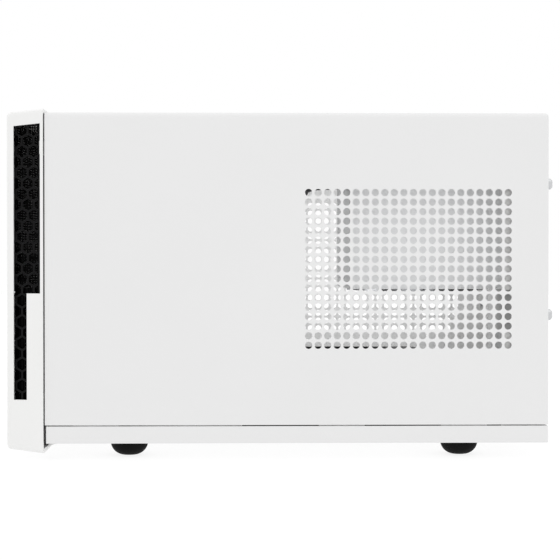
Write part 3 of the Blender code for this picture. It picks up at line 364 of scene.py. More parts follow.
# Zinc plate on the cover's thumb screws: pale, so they barely stand out from the coat
COATED_SCREW = BrushedFinish("bright_zinc_screw", "#D6D7D8", "#C4C5C7", 0.32, 0.3, (1.0, 1.0, 1.0))
# Galvanised sheet of the port shield: large flat crystals that differ a little in tone
ZINC = SpangledFinish("galvanised_steel", ("#C2C4C5", "#D8D9DA"), 5.0, 0.36)
# The supply's own paint, a shade greyer than the case, which tells the two apart through the holes
SUPPLY_COAT = CoatedFinish("pale_grey_supply_coat", "#DCDDDD", "#D4D5D6", 0.5, 1.0, 0.05)
# Solder mask over copper: nearly black green, with the tracks as slightly paler ridges
MASK = CircuitFinish("green_black_solder_mask", "#0F1E18", "#18302A", 0.5)
# Nylon braid on the cables: black strands with grey where they cross
BRAID = BraidFinish("black_braided_sleeve", "#0E0E0F", "#2A2A2C", 0.9)
# Clear acrylic of the two lamps' lenses: bright edges, a faint blue body
CLEAR_LENS = LensFinish("clear_acrylic_lens", "#DDE8EE")
# Gold on the plugs' contacts: small warm glints
GOLD = BrushedFinish("gold_plated_contacts", "#D8B25A", "#C79F4A", 0.3, 0.3, (1.0, 1.0, 1.0))
# The moulded rings and the inserts that mark the sockets by colour, all satin
PINK_RING = CoatedFinish("pink_moulded_ring", "#C77E93", "#BD7389", 0.42, 0.6, 0.03)
GREEN_RING = CoatedFinish("green_moulded_ring", "#7FAF4E", "#76A546", 0.42, 0.6, 0.03)
BLUE_TONGUE = CoatedFinish("blue_moulded_insert", "#2A5DA8", "#24549B", 0.4, 0.6, 0.03)
# Pressed iron powder of the chokes: dull dark grey
CHOKE = CoatedFinish("pressed_iron_choke", "#46474A", "#3B3C3F", 0.6, 0.5, 0.05)
# Nickel plate on the processor's lid, with no grain to its direction
SILICON_LID = BrushedFinish("nickel_plated_lid", "#C0C1C2", "#B0B1B2", 0.3, 0.5, (1.0, 1.0, 1.0))
# Anodised case of the drive: dark, softly brushed along its length
DRIVE_METAL = BrushedFinish("anodised_drive_case", "#5B5D61", "#4E5054", 0.42, 0.4, (1.0, 0.1, 1.0))
# The studio floor: a pale translucent table that is softly lit from below
FLOOR_GLASS = TableFinish("pale_lit_table", "#6E6E6E", 0.84)


class Palette:
    """Makes each finish's material once."""

    made: dict[str, bpy.types.Material] = {}

    @classmethod
    def get(cls, finish: Finish) -> bpy.types.Material:
        """Return the material of a finish."""
        if finish.name not in cls.made:
            cls.made[finish.name] = finish.build()
        return cls.made[finish.name]


# ---------------------------------------------------------------- making pieces

def baked(piece: bpy.types.Object) -> bpy.types.Object:
    """Turn the result of a piece's modifiers into its plain mesh."""
    graph = bpy.context.evaluated_depsgraph_get()
    mesh = bpy.data.meshes.new_from_object(piece.evaluated_get(graph), depsgraph=graph)
    piece.modifiers.clear()
    piece.data = mesh
    return piece


def linked(name: str, mesh: bpy.types.Mesh) -> bpy.types.Object:
    """Put a mesh into the scene as an object."""
    piece = bpy.data.objects.new(name, mesh)
    bpy.context.scene.collection.objects.link(piece)
    return piece


def shaded(piece: bpy.types.Object, angle: float = CREASE) -> bpy.types.Object:
    """Shade a piece smooth, with edges sharper than an angle kept crisp."""
    piece.data.shade_smooth()
    piece.data.set_sharp_from_angle(angle=math.radians(angle))
    return piece


def rounded(piece: bpy.types.Object, width_mm: float, segments: int = 2) -> bpy.types.Object:
    """Round a piece's sharp edges, as a mould or a press leaves them.

    Args:
        piece: the piece to change.
        width_mm: the width of each rounding.
        segments: how many facets make it.

    Returns:
        The same piece.
    """
    bevel = piece.modifiers.new("Round", "BEVEL")
    bevel.width = width_mm * MM
    bevel.segments = segments
    bevel.limit_method = "ANGLE"
    bevel.angle_limit = math.radians(ROUND_FROM)
    bevel.harden_normals = True
    return baked(piece)


def combined(piece: bpy.types.Object, tool: bpy.types.Object, operation: str) -> bpy.types.Object:
    """Cut a piece by a tool, or keep what they share, and remove the tool.

    Args:
        piece: the piece to change.
        tool: the cutting piece, which is used up.
        operation: "DIFFERENCE" or "INTERSECT".

    Returns:
        The same piece.
    """
    modifier = piece.modifiers.new("Cut", "BOOLEAN")
    modifier.operation = operation
    modifier.solver = "EXACT"
    modifier.object = tool
    baked(piece)
    bpy.data.objects.remove(tool)
    return piece


def carved(piece: bpy.types.Object, *tools: bpy.types.Object) -> bpy.types.Object:
    """Cut tools out of a piece and remove them."""
    for tool in tools:
        combined(piece, tool, "DIFFERENCE")
    return piece


def settle(piece: bpy.types.Object, body: str, slot: Slot, finish: Finish, *nodes: str) -> bpy.types.Object:
    """Give a finished piece its finish and body, and hide the CAD nodes that it stands for.

    Args:
        piece: the finished piece.
        body: the body it moves with.
        slot: its material slot in the record; not used.
        finish: its finish, or None where the mesh already has one.
        nodes: the CAD nodes it takes the place of.

    Returns:
        The same piece.
    """
    if finish is not None:
        piece.data.materials.clear()
        piece.data.materials.append(Palette.get(finish))
    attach(piece, body)
    if nodes:
        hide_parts(*nodes)
    log.info("%s rides on %s", piece.name, body)
    return piece


def body_of(node: str) -> str:
    """Return the name of the body that a CAD node belongs to."""
    for body, members in frame["record"]["behaviour"]["bodies"].items():
        if node in members:
            return body
    raise KeyError(node)


def slot_of(node: str) -> Slot:
    """Return the material slot that the record gives a CAD node."""
    entries = frame["record"]["subparts"]
    return next(Slot(entry["material_slot"]) for entry in entries if entry["node"] == node)


def refined(node: str, finish: Finish, width_mm: float) -> bpy.types.Object:
    """Replace a CAD node with a copy whose flat faces are whole and whose edges are rounded.

    Args:
        node: the CAD node.
        finish: the finish to dress it with.
        width_mm: how wide its edges are rounded.

    Returns:
        The new piece, already riding on the node's body.
    """
    shape = bmesh.new()
    shape.from_mesh(frame["nodes"][node].data)
    bmesh.ops.remove_doubles(shape, verts=shape.verts, dist=SAME_PLACE)
    bmesh.ops.dissolve_limit(shape, angle_limit=math.radians(1.0), verts=shape.verts, edges=shape.edges)
    mesh = bpy.data.meshes.new(node + "_finished")
    shape.to_mesh(mesh)
    shape.free()
    piece = shaded(linked(node + "_finished", mesh))
    if width_mm > 0:
        rounded(piece, width_mm)
    return settle(piece, body_of(node), slot_of(node), finish, node)


class Form:
    """Collects closed shapes, in millimetres, into one mesh."""

    ORDER = {"X": (1, 2, 0), "Y": (0, 2, 1), "Z": (0, 1, 2)}

    def __init__(self) -> None:
        """Start with no shapes."""
        self.mesh = bmesh.new()

    def point(self, axis: str, first: float, second: float, along: float) -> bmesh.types.BMVert:
        """Add a vertex from an outline's two numbers and its place on an axis."""
        place = [0.0, 0.0, 0.0]
        for index, value in zip(self.ORDER[axis], (first, second, along)):
            place[index] = value * MM
        return self.mesh.verts.new(place)

    def prism(self, outline: Sequence[Corner], axis: str, start: float, end: float) -> "Form":
        """Add an outline extruded along an axis.

        Args:
            outline: the corners, in order round the outline.
            axis: "X", "Y" or "Z".
            start: where the prism begins.
            end: where it ends.

        Returns:
            This form, so that calls can be chained.
        """
        first = [self.point(axis, u, v, start) for u, v in outline]
        second = [self.point(axis, u, v, end) for u, v in outline]
        self.mesh.faces.new(first)
        self.mesh.faces.new(second)
        for index, corner in enumerate(first):
            self.mesh.faces.new((first[index - 1], corner, second[index], second[index - 1]))
        return self

    def box(self, low: Point, high: Point) -> "Form":
        """Add a box from its lowest and highest corners."""
        outline = [(low[0], low[1]), (high[0], low[1]), (high[0], high[1]), (low[0], high[1])]
        return self.prism(outline, "Z", low[2], high[2])

    def turned(self, profile: Sequence[Corner], centre: Corner, axis: str, sides: int = 48) -> "Form":
        """Add a closed profile of (radius, place) points revolved round an axis.

        Args:
            profile: the points in order.
            centre: the axis in the plane across it.
            axis: "X", "Y" or "Z".
            sides: how many steps go round.

        Returns:
            This form.
        """
        rows = []
        for radius, along in profile:
            ring = circle(centre, radius, sides) if radius > 0 else [centre]
            rows.append([self.point(axis, u, v, along) for u, v in ring])
        for first, second in zip(rows, rows[1:] + rows[:1]):
            for step in range(sides):
                after = (step + 1) % sides
                corners = (first[step % len(first)], first[after % len(first)],
                           second[after % len(second)], second[step % len(second)])
                face = list(dict.fromkeys(corners))
                if len(face) > 2:
                    self.mesh.faces.new(face)
        return self

    def add(self, mesh: bpy.types.Mesh, matrix: Matrix) -> "Form":
        """Add a finished mesh, in metres, through a matrix."""
        before = len(self.mesh.verts)
        self.mesh.from_mesh(mesh)
        self.mesh.verts.ensure_lookup_table()
        bmesh.ops.transform(self.mesh, matrix=matrix, verts=self.mesh.verts[before:])
        return self

    def weld(self, *seams: tuple[int, float]) -> "Form":
        """Join corners that meet and delete the walls left on the seams.

        Args:
            seams: the planes where shapes meet, each as an axis number and a place in millimetres.

        Returns:
            This form.
        """
        bmesh.ops.remove_doubles(self.mesh, verts=self.mesh.verts, dist=SAME_PLACE)
        walls = [face for face in self.mesh.faces for axis, place in seams
                 if all(abs(vert.co[axis] - place * MM) < 1e-7 for vert in face.verts)]
        bmesh.ops.delete(self.mesh, geom=walls, context="FACES")
        return self

    def piece(self, name: str, angle: float = CREASE) -> bpy.types.Object:
        """Make the shapes one object, with their faces pointing outwards."""
        bmesh.ops.recalc_face_normals(self.mesh, faces=self.mesh.faces)
        mesh = bpy.data.meshes.new(name)
        self.mesh.to_mesh(mesh)
        self.mesh.free()
        return shaded(linked(name, mesh), angle)


def circle(centre: Corner, radius: float, sides: int) -> list[Corner]:
    """Return a regular outline round a centre."""
    turns = [2 * math.pi * step / sides for step in range(sides)]
    return [(centre[0] + radius * math.cos(turn), centre[1] + radius * math.sin(turn)) for turn in turns]


def millimetres(node: str) -> tuple[Vector, Vector]:
    """Return a CAD node's lowest and highest corners in millimetres."""
    low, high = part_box(node)
    return low / MM, high / MM


# ---------------------------------------------------------------- perforated sheets

@dataclass
class PerforatedSheet:
    """A flat sheet with a regular field of holes, lying on XY with its back at Z = 0.

    Sizes are in millimetres. A notch is cut out of the corner at high X and low Y.
    """

    width: float
    height: float
    columns: int
    rows: int
    pitch: tuple[float, float]
    radius: float
    sides: int
    thickness: float
    stagger: float = 0.0
    turn: float = 0.0
    shift: tuple[float, float] = (0.0, 0.0)
    notch: tuple[float, float] = (0.0, 0.0)

    INPUTS = (("Width", "NodeSocketFloat"), ("Height", "NodeSocketFloat"), ("Columns", "NodeSocketInt"),
              ("Rows", "NodeSocketInt"), ("Pitch X", "NodeSocketFloat"), ("Pitch Y", "NodeSocketFloat"),
              ("Radius", "NodeSocketFloat"), ("Sides", "NodeSocketInt"), ("Thickness", "NodeSocketFloat"),
              ("Stagger", "NodeSocketFloat"), ("Turn", "NodeSocketFloat"), ("Shift", "NodeSocketVector"),
              ("Notch X", "NodeSocketFloat"), ("Notch Y", "NodeSocketFloat"),
              ("Material", "NodeSocketMaterial"))

    def values(self, finish: Finish) -> dict[str, object]:
        """Return the tree's input values, in metres.

        Args:
            finish: the finish that the tree sets.

        Returns:
            The values by input name.
        """
        return {
            "Width": self.width * MM, "Height": self.height * MM, "Columns": self.columns, "Rows": self.rows,
            "Pitch X": self.pitch[0] * MM, "Pitch Y": self.pitch[1] * MM, "Radius": self.radius * MM,
            "Sides": self.sides, "Thickness": self.thickness * MM, "Stagger": self.stagger * MM,
            "Turn": self.turn, "Shift": (self.shift[0] * MM, self.shift[1] * MM, 0.0),
            "Notch X": self.notch[0] * MM, "Notch Y": self.notch[1] * MM, "Material": Palette.get(finish),
        }

    @classmethod
    def tree(cls) -> bpy.types.NodeTree:
        """Build the Geometry Nodes tree: hole outlines on a grid, filled inside a frame and thickened."""
        tree = bpy.data.node_groups.new("perforated_sheet", "GeometryNodeTree")
        for name, kind in cls.INPUTS:
            tree.interface.new_socket(name, in_out="INPUT", socket_type=kind)
        tree.interface.new_socket("Geometry", in_out="OUTPUT", socket_type="NodeSocketGeometry")
        given = add_node(tree, "NodeGroupInput").outputs

        def maths(operation: str, first, second) -> bpy.types.NodeSocket:
            """Return the result of a sum on two values or sockets."""
            settings = {"operation": operation}
            links = {}
            for place, value in enumerate((first, second)):
                (links if isinstance(value, bpy.types.NodeSocket) else settings)[place] = value
            return add_node(tree, "ShaderNodeMath", settings, links).outputs[0]

        span_x = maths("MULTIPLY", maths("SUBTRACT", given["Columns"], 1.0), given["Pitch X"])
        span_y = maths("MULTIPLY", maths("SUBTRACT", given["Rows"], 1.0), given["Pitch Y"])
        grid = add_node(tree, "GeometryNodeMeshGrid", {},
                        {"Size X": span_x, "Size Y": span_y, "Vertices X": given["Columns"],
                         "Vertices Y": given["Rows"]})
        row = maths("FLOORED_MODULO", add_node(tree, "GeometryNodeInputIndex").outputs[0], given["Rows"])
        lean = maths("MULTIPLY", maths("FLOORED_MODULO", row, 2.0), given["Stagger"])
        offset = add_node(tree, "ShaderNodeCombineXYZ", {}, {"X": lean})
        total = add_node(tree, "ShaderNodeVectorMath", {"operation": "ADD"},
                         {0: offset.outputs[0], 1: given["Shift"]})
        moved = add_node(tree, "GeometryNodeSetPosition", {},
                         {"Geometry": grid.outputs["Mesh"], "Offset": total.outputs[0]})
        place = add_node(tree, "ShaderNodeSeparateXYZ", {},
                         {0: add_node(tree, "GeometryNodeInputPosition").outputs[0]})
        margin = maths("MULTIPLY", given["Radius"], 1.3)
        half_x, half_y = maths("DIVIDE", given["Width"], 2.0), maths("DIVIDE", given["Height"], 2.0)
        edge_x = maths("SUBTRACT", maths("SUBTRACT", half_x, given["Notch X"]), margin)
        edge_y = maths("ADD", maths("SUBTRACT", given["Notch Y"], half_y), margin)
        has_notch = maths("GREATER_THAN", given["Notch X"], 0.0)
        beside = maths("MULTIPLY", maths("GREATER_THAN", place.outputs["X"], edge_x),
                       maths("LESS_THAN", place.outputs["Y"], edge_y))
        kept = add_node(tree, "GeometryNodeDeleteGeometry", {},
                        {"Geometry": moved.outputs[0], "Selection": maths("MULTIPLY", beside, has_notch)})
        hole = add_node(tree, "GeometryNodeCurvePrimitiveCircle", {},
                        {"Resolution": given["Sides"], "Radius": given["Radius"]})
        spin = add_node(tree, "ShaderNodeCombineXYZ", {}, {"Z": given["Turn"]})
        holes = add_node(tree, "GeometryNodeInstanceOnPoints", {},
                         {"Points": kept.outputs[0], "Instance": hole.outputs[0],
                          "Rotation": spin.outputs[0]})
        outer = add_node(tree, "GeometryNodeCurvePrimitiveQuadrilateral", {},
                         {"Width": given["Width"], "Height": given["Height"]})
        corner = add_node(tree, "GeometryNodeCurvePrimitiveQuadrilateral", {},
                          {"Width": given["Notch X"], "Height": given["Notch Y"]})
        corner_place = add_node(tree, "ShaderNodeCombineXYZ", {}, {
            "X": maths("DIVIDE", maths("SUBTRACT", given["Width"], given["Notch X"]), 2.0),
            "Y": maths("DIVIDE", maths("SUBTRACT", given["Notch Y"], given["Height"]), 2.0)})
        cut = add_node(tree, "GeometryNodeTransform", {},
                       {"Geometry": corner.outputs[0], "Translation": corner_place.outputs[0]})
        chosen = add_node(tree, "GeometryNodeSwitch", {"input_type": "GEOMETRY"},
                          {"Switch": has_notch, "True": cut.outputs[0]})
        joined = add_node(tree, "GeometryNodeJoinGeometry")
        real = add_node(tree, "GeometryNodeRealizeInstances", {}, {"Geometry": holes.outputs[0]})
        for source in (outer.outputs[0], chosen.outputs[0], real.outputs[0]):
            tree.links.new(source, joined.inputs[0])
        flat = add_node(tree, "GeometryNodeFillCurve", {}, {"Curve": joined.outputs[0]})
        raised = add_node(tree, "GeometryNodeExtrudeMesh", {"Individual": False},
                          {"Mesh": flat.outputs[0], "Offset Scale": given["Thickness"]})
        back = add_node(tree, "GeometryNodeFlipFaces", {}, {"Mesh": flat.outputs[0]})
        both = add_node(tree, "GeometryNodeJoinGeometry")
        tree.links.new(raised.outputs["Mesh"], both.inputs[0])
        tree.links.new(back.outputs[0], both.inputs[0])
        welded = add_node(tree, "GeometryNodeMergeByDistance", {"Distance": 0.001 * MM},
                          {"Geometry": both.outputs[0]})
        whole = add_node(tree, "GeometryNodeRealizeInstances", {}, {"Geometry": welded.outputs[0]})
        dressed = add_node(tree, "GeometryNodeSetMaterial", {},
                           {"Geometry": whole.outputs[0], "Material": given["Material"]})
        add_node(tree, "NodeGroupOutput", {}, {"Geometry": dressed.outputs[0]})
        return tree

    def mesh(self, finish: Finish) -> bpy.types.Mesh:
        """Return the sheet as a plain mesh.

        Args:
            finish: the finish that the tree sets on it.

        Returns:
            The mesh, in metres, with its back on the ground plane.
        """
        return grown(bpy.data.node_groups.get("perforated_sheet") or self.tree(), self.values(finish))


# ---------------------------------------------------------------- rows of copies

class CopyField:
    """Copies of one small mesh in rows and columns, made by Geometry Nodes."""

    INPUTS = (("Source", "NodeSocketObject"), ("Count", "NodeSocketInt"), ("Step", "NodeSocketVector"),
              ("Rows", "NodeSocketInt"), ("Row Step", "NodeSocketVector"), ("Start", "NodeSocketVector"),
              ("Material", "NodeSocketMaterial"))

    @classmethod
    def tree(cls) -> bpy.types.NodeTree:
        """Build the tree: a line of points, repeated along a second line, with the source on each."""
        tree = bpy.data.node_groups.new("copy_field", "GeometryNodeTree")
        for name, kind in cls.INPUTS:
            tree.interface.new_socket(name, in_out="INPUT", socket_type=kind)
        tree.interface.new_socket("Geometry", in_out="OUTPUT", socket_type="NodeSocketGeometry")
        given = add_node(tree, "NodeGroupInput").outputs
        row = add_node(tree, "GeometryNodeMeshLine", {},
                       {"Count": given["Count"], "Start Location": given["Start"], "Offset": given["Step"]})
        starts = add_node(tree, "GeometryNodeMeshLine", {},
                          {"Count": given["Rows"], "Offset": given["Row Step"]})
        rows = add_node(tree, "GeometryNodeInstanceOnPoints", {},
                        {"Points": starts.outputs[0], "Instance": row.outputs[0]})
        points = add_node(tree, "GeometryNodeRealizeInstances", {}, {"Geometry": rows.outputs[0]})
        source = add_node(tree, "GeometryNodeObjectInfo", {}, {"Object": given["Source"]})
        copies = add_node(tree, "GeometryNodeInstanceOnPoints", {},
                          {"Points": points.outputs[0], "Instance": source.outputs["Geometry"]})
        whole = add_node(tree, "GeometryNodeRealizeInstances", {}, {"Geometry": copies.outputs[0]})
        dressed = add_node(tree, "GeometryNodeSetMaterial", {},
                           {"Geometry": whole.outputs[0], "Material": given["Material"]})
        add_node(tree, "NodeGroupOutput", {}, {"Geometry": dressed.outputs[0]})
        return tree

    @classmethod
    def mesh(cls, source: bpy.types.Object, finish: Finish, start: Point, count: int, step: Point,
             rows: int = 1, row_step: Point = (0.0, 0.0, 0.0)) -> bpy.types.Mesh:
        """Return the copies as a plain mesh and remove the source.

        Args:
            source: what is copied, made round the origin.
            finish: the finish that the tree sets.
            start: the first copy's place, in millimetres.
            count: how many copies a row has.
            step: from one copy to the next, in millimetres.
            rows: how many rows there are.
            row_step: from one row to the next, in millimetres.

        Returns:
            The mesh of all the copies, in metres.
        """
        values = {"Source": source, "Count": count, "Step": Vector(step) * MM, "Rows": rows,
                  "Row Step": Vector(row_step) * MM, "Start": Vector(start) * MM,
                  "Material": Palette.get(finish)}
        mesh = grown(bpy.data.node_groups.get("copy_field") or cls.tree(), values)
        bpy.data.objects.remove(source)
        return mesh


def grown(tree: bpy.types.NodeTree, values: dict[str, object]) -> bpy.types.Mesh:
    """Run a Geometry Nodes tree with its named inputs and return the plain mesh it makes.

    Args:
        tree: the tree to run.
        values: its input values by name.

    Returns:
        The mesh, with no modifier left.
    """
    carrier = linked("carrier", bpy.data.meshes.new("carrier"))
    modifier = carrier.modifiers.new("Nodes", "NODES")
    modifier.node_group = tree
    items = tree.interface.items_tree
    identifiers = {item.name: item.identifier for item in items if item.in_out == "INPUT"}
    for name, value in values.items():
        modifier[identifiers[name]] = value
    mesh = baked(carrier).data
    bpy.data.objects.remove(carrier)
    return mesh


# ---------------------------------------------------------------- case

SHEET = 0.8
UP = (0.0, 0.0, 1.0)


def facing(side: int, x: float, y: float, z: float, lean: float = 0.0) -> Matrix:
    """Return the matrix that stands a flat sheet upright, facing out to one side.

    Args:
        side: 1 to face +X or -1 to face -X.
        x: the sheet's back, in millimetres.
        y: the middle of its length.
        z: the middle of its height.
        lean: how far the sheet is turned so that its front edge comes inwards, in radians.

    Returns:
        The matrix, whose local Z points out of the side.
    """
    along = Vector((side * math.sin(lean), math.cos(lean), 0.0)) * side
    up = Vector(UP)
    out = along.cross(up)
    turn = Matrix((along, up, out)).transposed().to_4x4()
    return Matrix.Translation(Vector((side * x, y, z)) * MM) @ turn


@dataclass
class Cover:
    """The U-shaped steel cover with its two perforated sides, rear fold and hooks."""

    corner: float = 3.0
    bend: float = 1.4
    fold: float = 8.4
    hook_drop: float = 7.0
    columns: int = 22
    rows: int = 17
    pitch: tuple[float, float] = (4.96, 4.97)
    hole: float = 1.9
    field_middle: tuple[float, float] = (66.7, 99.05)

    def arch(self, inset: float) -> list[Corner]:
        """Return the cover's outline, from its left bottom edge over the top to its right one.

        Args:
            inset: how far inside the outer face, in millimetres.

        Returns:
            The corners in order.
        """
        half, top = self.half - inset, self.top - inset
        radius = max(self.corner - inset, 0.0)
        spring = self.top - self.corner
        arc = [(half - radius + radius * math.cos(turn), top - radius + radius * math.sin(turn))
               for turn in (math.pi / 2 * step / 6 for step in range(7))]
        right = [(half, self.bottom), (half, min(spring, top)), *arc[1:]]
        return [(-x, z) for x, z in right] + right[::-1]

    def swept(self, profile: Sequence[Corner]) -> Form:
        """Sweep a closed profile of (inset, y) points along the outline.

        Args:
            profile: the points in order.

        Returns:
            A form that holds the swept shape.
        """
        form = Form()
        rows = [[form.point("Y", x, z, y) for x, z in self.arch(inset)] for inset, y in profile]
        for first, second in zip(rows, rows[1:] + rows[:1]):
            for step in range(len(first) - 1):
                form.mesh.faces.new((first[step], first[step + 1], second[step + 1], second[step]))
        form.mesh.faces.new([row[0] for row in rows])
        form.mesh.faces.new([row[-1] for row in rows])
        return form

    def rear_fold(self) -> bpy.types.Object:
        """Make the bend and the flat fold at the rear, with the screws' clearance holes."""
        start, end = self.rear - self.bend, self.rear
        turns = [math.pi / 2 * step / 4 for step in range(5)]
        outer = [(self.bend * (1 - math.cos(turn)), start + self.bend * math.sin(turn)) for turn in turns]
        inner = self.bend - SHEET
        back = [(SHEET + inner * (1 - math.cos(turn)), start + inner * math.sin(turn)) for turn in turns]
        profile = outer + [(self.fold, end), (self.fold, end - SHEET)] + back[::-1]
        piece = self.swept(profile).piece("cover_fold")
        for name in ("cover_screw_lower_left", "cover_screw_lower_right",
                     "cover_screw_upper_left", "cover_screw_upper_right"):
            low, high = millimetres(name)
            place = ((low.x + high.x) / 2, (low.z + high.z) / 2)
            carved(piece, Form().prism(circle(place, 1.7, 20), "Y", end - 3.0, end + 3.0).piece("drill"))
        return piece

    def build(self) -> None:
        """Make the cover from its arched top, its two perforated sides and its rear fold."""
        low, high = millimetres("top_cover")
        self.half, self.top, self.bottom = high.x, high.z, low.z + self.hook_drop
        self.front, self.rear = low.y, high.y
        start, end = self.front, self.rear - self.bend
        spring = self.top - self.corner
        inner = [(x, z) for x, z in self.arch(SHEET) if z >= spring - 0.001]
        outer = [(x, z) for x, z in self.arch(0.0) if z >= spring - 0.001]
        form = Form().prism(outer + inner[::-1], "Y", start, end)
        middle = ((start + end) / 2, (self.bottom + spring) / 2)
        for side in (1, -1):
            shift = (side * (self.field_middle[0] - middle[0]), self.field_middle[1] - middle[1])
            panel = PerforatedSheet(end - start, spring - self.bottom, self.columns, self.rows, self.pitch,
                                    self.hole, 24, SHEET, shift=shift)
            form.add(panel.mesh(POWDER_COAT), facing(side, self.half - SHEET, middle[0], middle[1]))
        fold = self.rear_fold()
        form.add(fold.data, Matrix())
        bpy.data.objects.remove(fold)
        form.weld((1, end), (2, spring))
        hook = self.half - 1.5
        for side in (1, -1):
            for y in (-96.0, -32.0, 32.0, 96.0):
                form.box((min(side * hook, side * (hook - SHEET)), y - 12.0, low.z),
                         (max(side * hook, side * (hook - SHEET)), y + 12.0, self.bottom + 2.0))
                reach = sorted((side * (hook - SHEET), side * (self.half - SHEET / 2)))
                form.box((reach[0], y - 12.0, self.bottom + 1.2), (reach[1], y + 12.0, self.bottom + 2.0))
        settle(form.piece("steel_cover"), "cover", Slot.WHITE_STEEL, POWDER_COAT, "top_cover")


@dataclass
class Grille:
    """The black honeycomb behind the bezel's windows, with a wing at each side."""

    pitch: float = 6.4
    hole: float = 3.1
    thickness: float = 1.0
    lean: float = math.atan(4.0 / 19.4)
    notch_left: float = 64.0
    notch_top: float = 87.3
    rim: float = 0.5

    def build(self) -> None:
        """Make the front lattice and its wings."""
        low, high = millimetres("honeycomb_grille")
        height, middle = high.z - low.z, (high.z + low.z) / 2
        row = self.pitch * math.sqrt(0.75)
        corner = high.x - (high.y - low.y) * math.tan(self.lean)
        form = Form()
        front = PerforatedSheet(2 * corner, height, 32, 26, (self.pitch, row), self.hole, 6, self.thickness,
                                stagger=self.pitch / 2, turn=math.pi / 6, shift=(-self.pitch / 4, 0.0),
                                notch=(corner - self.notch_left, self.notch_top - low.z))
        upright = Matrix.Translation(Vector((0.0, low.y + self.thickness, middle)) * MM)
        form.add(front.mesh(GRILLE_ABS), upright @ Matrix.Rotation(math.pi / 2, 4, "X"))
        for side in (1, -1):
            self.wing(form, side, low, high, row)
        settle(form.piece("honeycomb_sheet"), "bezel", Slot.BLACK_PLASTIC, GRILLE_ABS, "honeycomb_grille")

    def wing(self, form: Form, side: int, low: Vector, high: Vector, row: float) -> None:
        """Add one wing: the lattice cut to its outline, inside a narrow rim.

        Args:
            form: the shapes to add to.
            side: 1 for the right or -1 for the left.
            low: the sheet's lowest corner.
            high: its highest corner.
            row: from one row of cells to the next.
        """
        length = (high.y - low.y) / math.cos(self.lean)
        height, middle = high.z - low.z, (high.z + low.z) / 2
        lattice = PerforatedSheet(length + 6 * self.pitch, height, 6, 26, (self.pitch, row), self.hole, 6,
                                  self.thickness, stagger=side * self.pitch / 2, turn=math.pi / 6,
                                  shift=(side * (1.3 - self.pitch / 2), 0.0))
        cut = linked("wing", lattice.mesh(GRILLE_ABS))
        trim = Form().box((-length / 2, -height / 2, -1.0), (length / 2, height / 2, self.thickness + 1.0))
        combined(cut, trim.piece("trim"), "INTERSECT")
        back = high.x - length / 2 * math.sin(self.lean) - self.thickness * math.cos(self.lean)
        place = facing(side, back, (low.y + high.y) / 2, middle, self.lean)
        form.add(cut.data, place)
        bpy.data.objects.remove(cut)
        for end in (-1, 1):
            start, stop = sorted((end * length / 2, end * (length / 2 - self.rim)))
            strip = Form().box((start, -height / 2, 0.0), (stop, height / 2, self.thickness)).piece("strip")
            form.add(strip.data, place)
            bpy.data.objects.remove(strip)


@dataclass
class Filter:
    """The woven dust filter behind the honeycomb: wires on three faces, and a near-black sheet of painted
    shade behind the right one by the ports.
    """

    pitch: float = 1.35
    wire: float = 0.25
    lean: float = math.atan(4.0 / 19.4)

    def build(self) -> None:
        """Make the front weave and the two side weaves."""
        low, high = millimetres("dust_filter")
        corner = high.x - (high.y - low.y) * math.tan(self.lean) - 0.6
        height, middle = high.z - low.z, (high.z + low.z) / 2
        notch_left, notch_top = 64.0, 87.3
        form = Form()
        upright = Matrix.Translation(Vector((0.0, low.y + 0.5, 0.0)) * MM)
        upright = upright @ Matrix.Rotation(math.pi / 2, 4, "X")
        self.weave(form, upright, (-corner, low.z), (notch_left, high.z))
        self.weave(form, upright, (notch_left, notch_top), (corner, high.z))
        length = (high.y - low.y) / math.cos(self.lean)
        for side in (1, -1):
            place = facing(side, high.x - length / 2 * math.sin(self.lean) - 0.5, (low.y + high.y) / 2,
                           middle, self.lean)
            self.weave(form, place, (-length / 2, -height / 2), (length / 2, height / 2))
            # Behind the right weave, from its bottom to just above the ports' notch, a near-black sheet
            # stands in as painted shade, hiding the ports behind it
            if side > 0:
                high_edge = notch_top + 1.5 - middle
                closed = Form().box((-length / 2, -height / 2, -0.35), (length / 2, high_edge, -0.05))
                blank = closed.piece("blank")
                form.add(blank.data, place)
                bpy.data.objects.remove(blank)
        settle(form.piece("filter_weave", 60.0), "bezel", Slot.FILTER, FILTER_WIRE_PAINTED_SHADE, "dust_filter")

    def weave(self, form: Form, place: Matrix, low: Corner, high: Corner) -> None:
        """Add a flat field of crossing wires between two corners.

        Args:
            form: the shapes to add to.
            place: the matrix that stands the field in its place.
            low: its lowest corner, in millimetres.
            high: its highest corner.
        """
        wide, tall = high[0] - low[0], high[1] - low[1]
        across = Form().prism(circle((0.0, 0.0), self.wire, 6), "X", 0.0, wide).piece("weft", 60.0)
        up = Form().prism(circle((0.0, 0.0), self.wire, 6), "Y", 0.0, tall).piece("warp", 60.0)
        weft = CopyField.mesh(across, FILTER_WIRE_PAINTED_SHADE, (low[0], low[1], 0.0), int(tall / self.pitch) + 1,
                              (0.0, self.pitch, 0.0))
        warp = CopyField.mesh(up, FILTER_WIRE_PAINTED_SHADE, (low[0], low[1], 1.4 * self.wire), int(wide / self.pitch) + 1,
                              (self.pitch, 0.0, 0.0))
        form.add(weft, place).add(warp, place)


@dataclass
class Foot:
    """One moulded rubber foot: a low drum with a well rounded tread."""

    node: str
    flat: float = 2.6

    def build(self) -> None:
        """Make the foot in the space of its CAD node."""
        low, high = millimetres(self.node)
        centre = ((low.x + high.x) / 2, (low.y + high.y) / 2)
        radius, top = (high.x - low.x) / 2, high.z
        turns = [math.pi / 2 * step / 12 for step in range(13)]
        tread = [(self.flat + (radius - self.flat) * math.sin(turn), (top - 0.9) * (1 - math.cos(turn)))
                 for turn in turns]
        profile = [(0.0, 0.0), *tread, (radius, top - 0.4), (radius - 0.4, top), (0.0, top)]
        piece = Form().turned(profile, centre, "Z", 56).piece(self.node + "_rubber", 40.0)
        settle(piece, "chassis", Slot.RUBBER, FOOT_RUBBER, self.node)


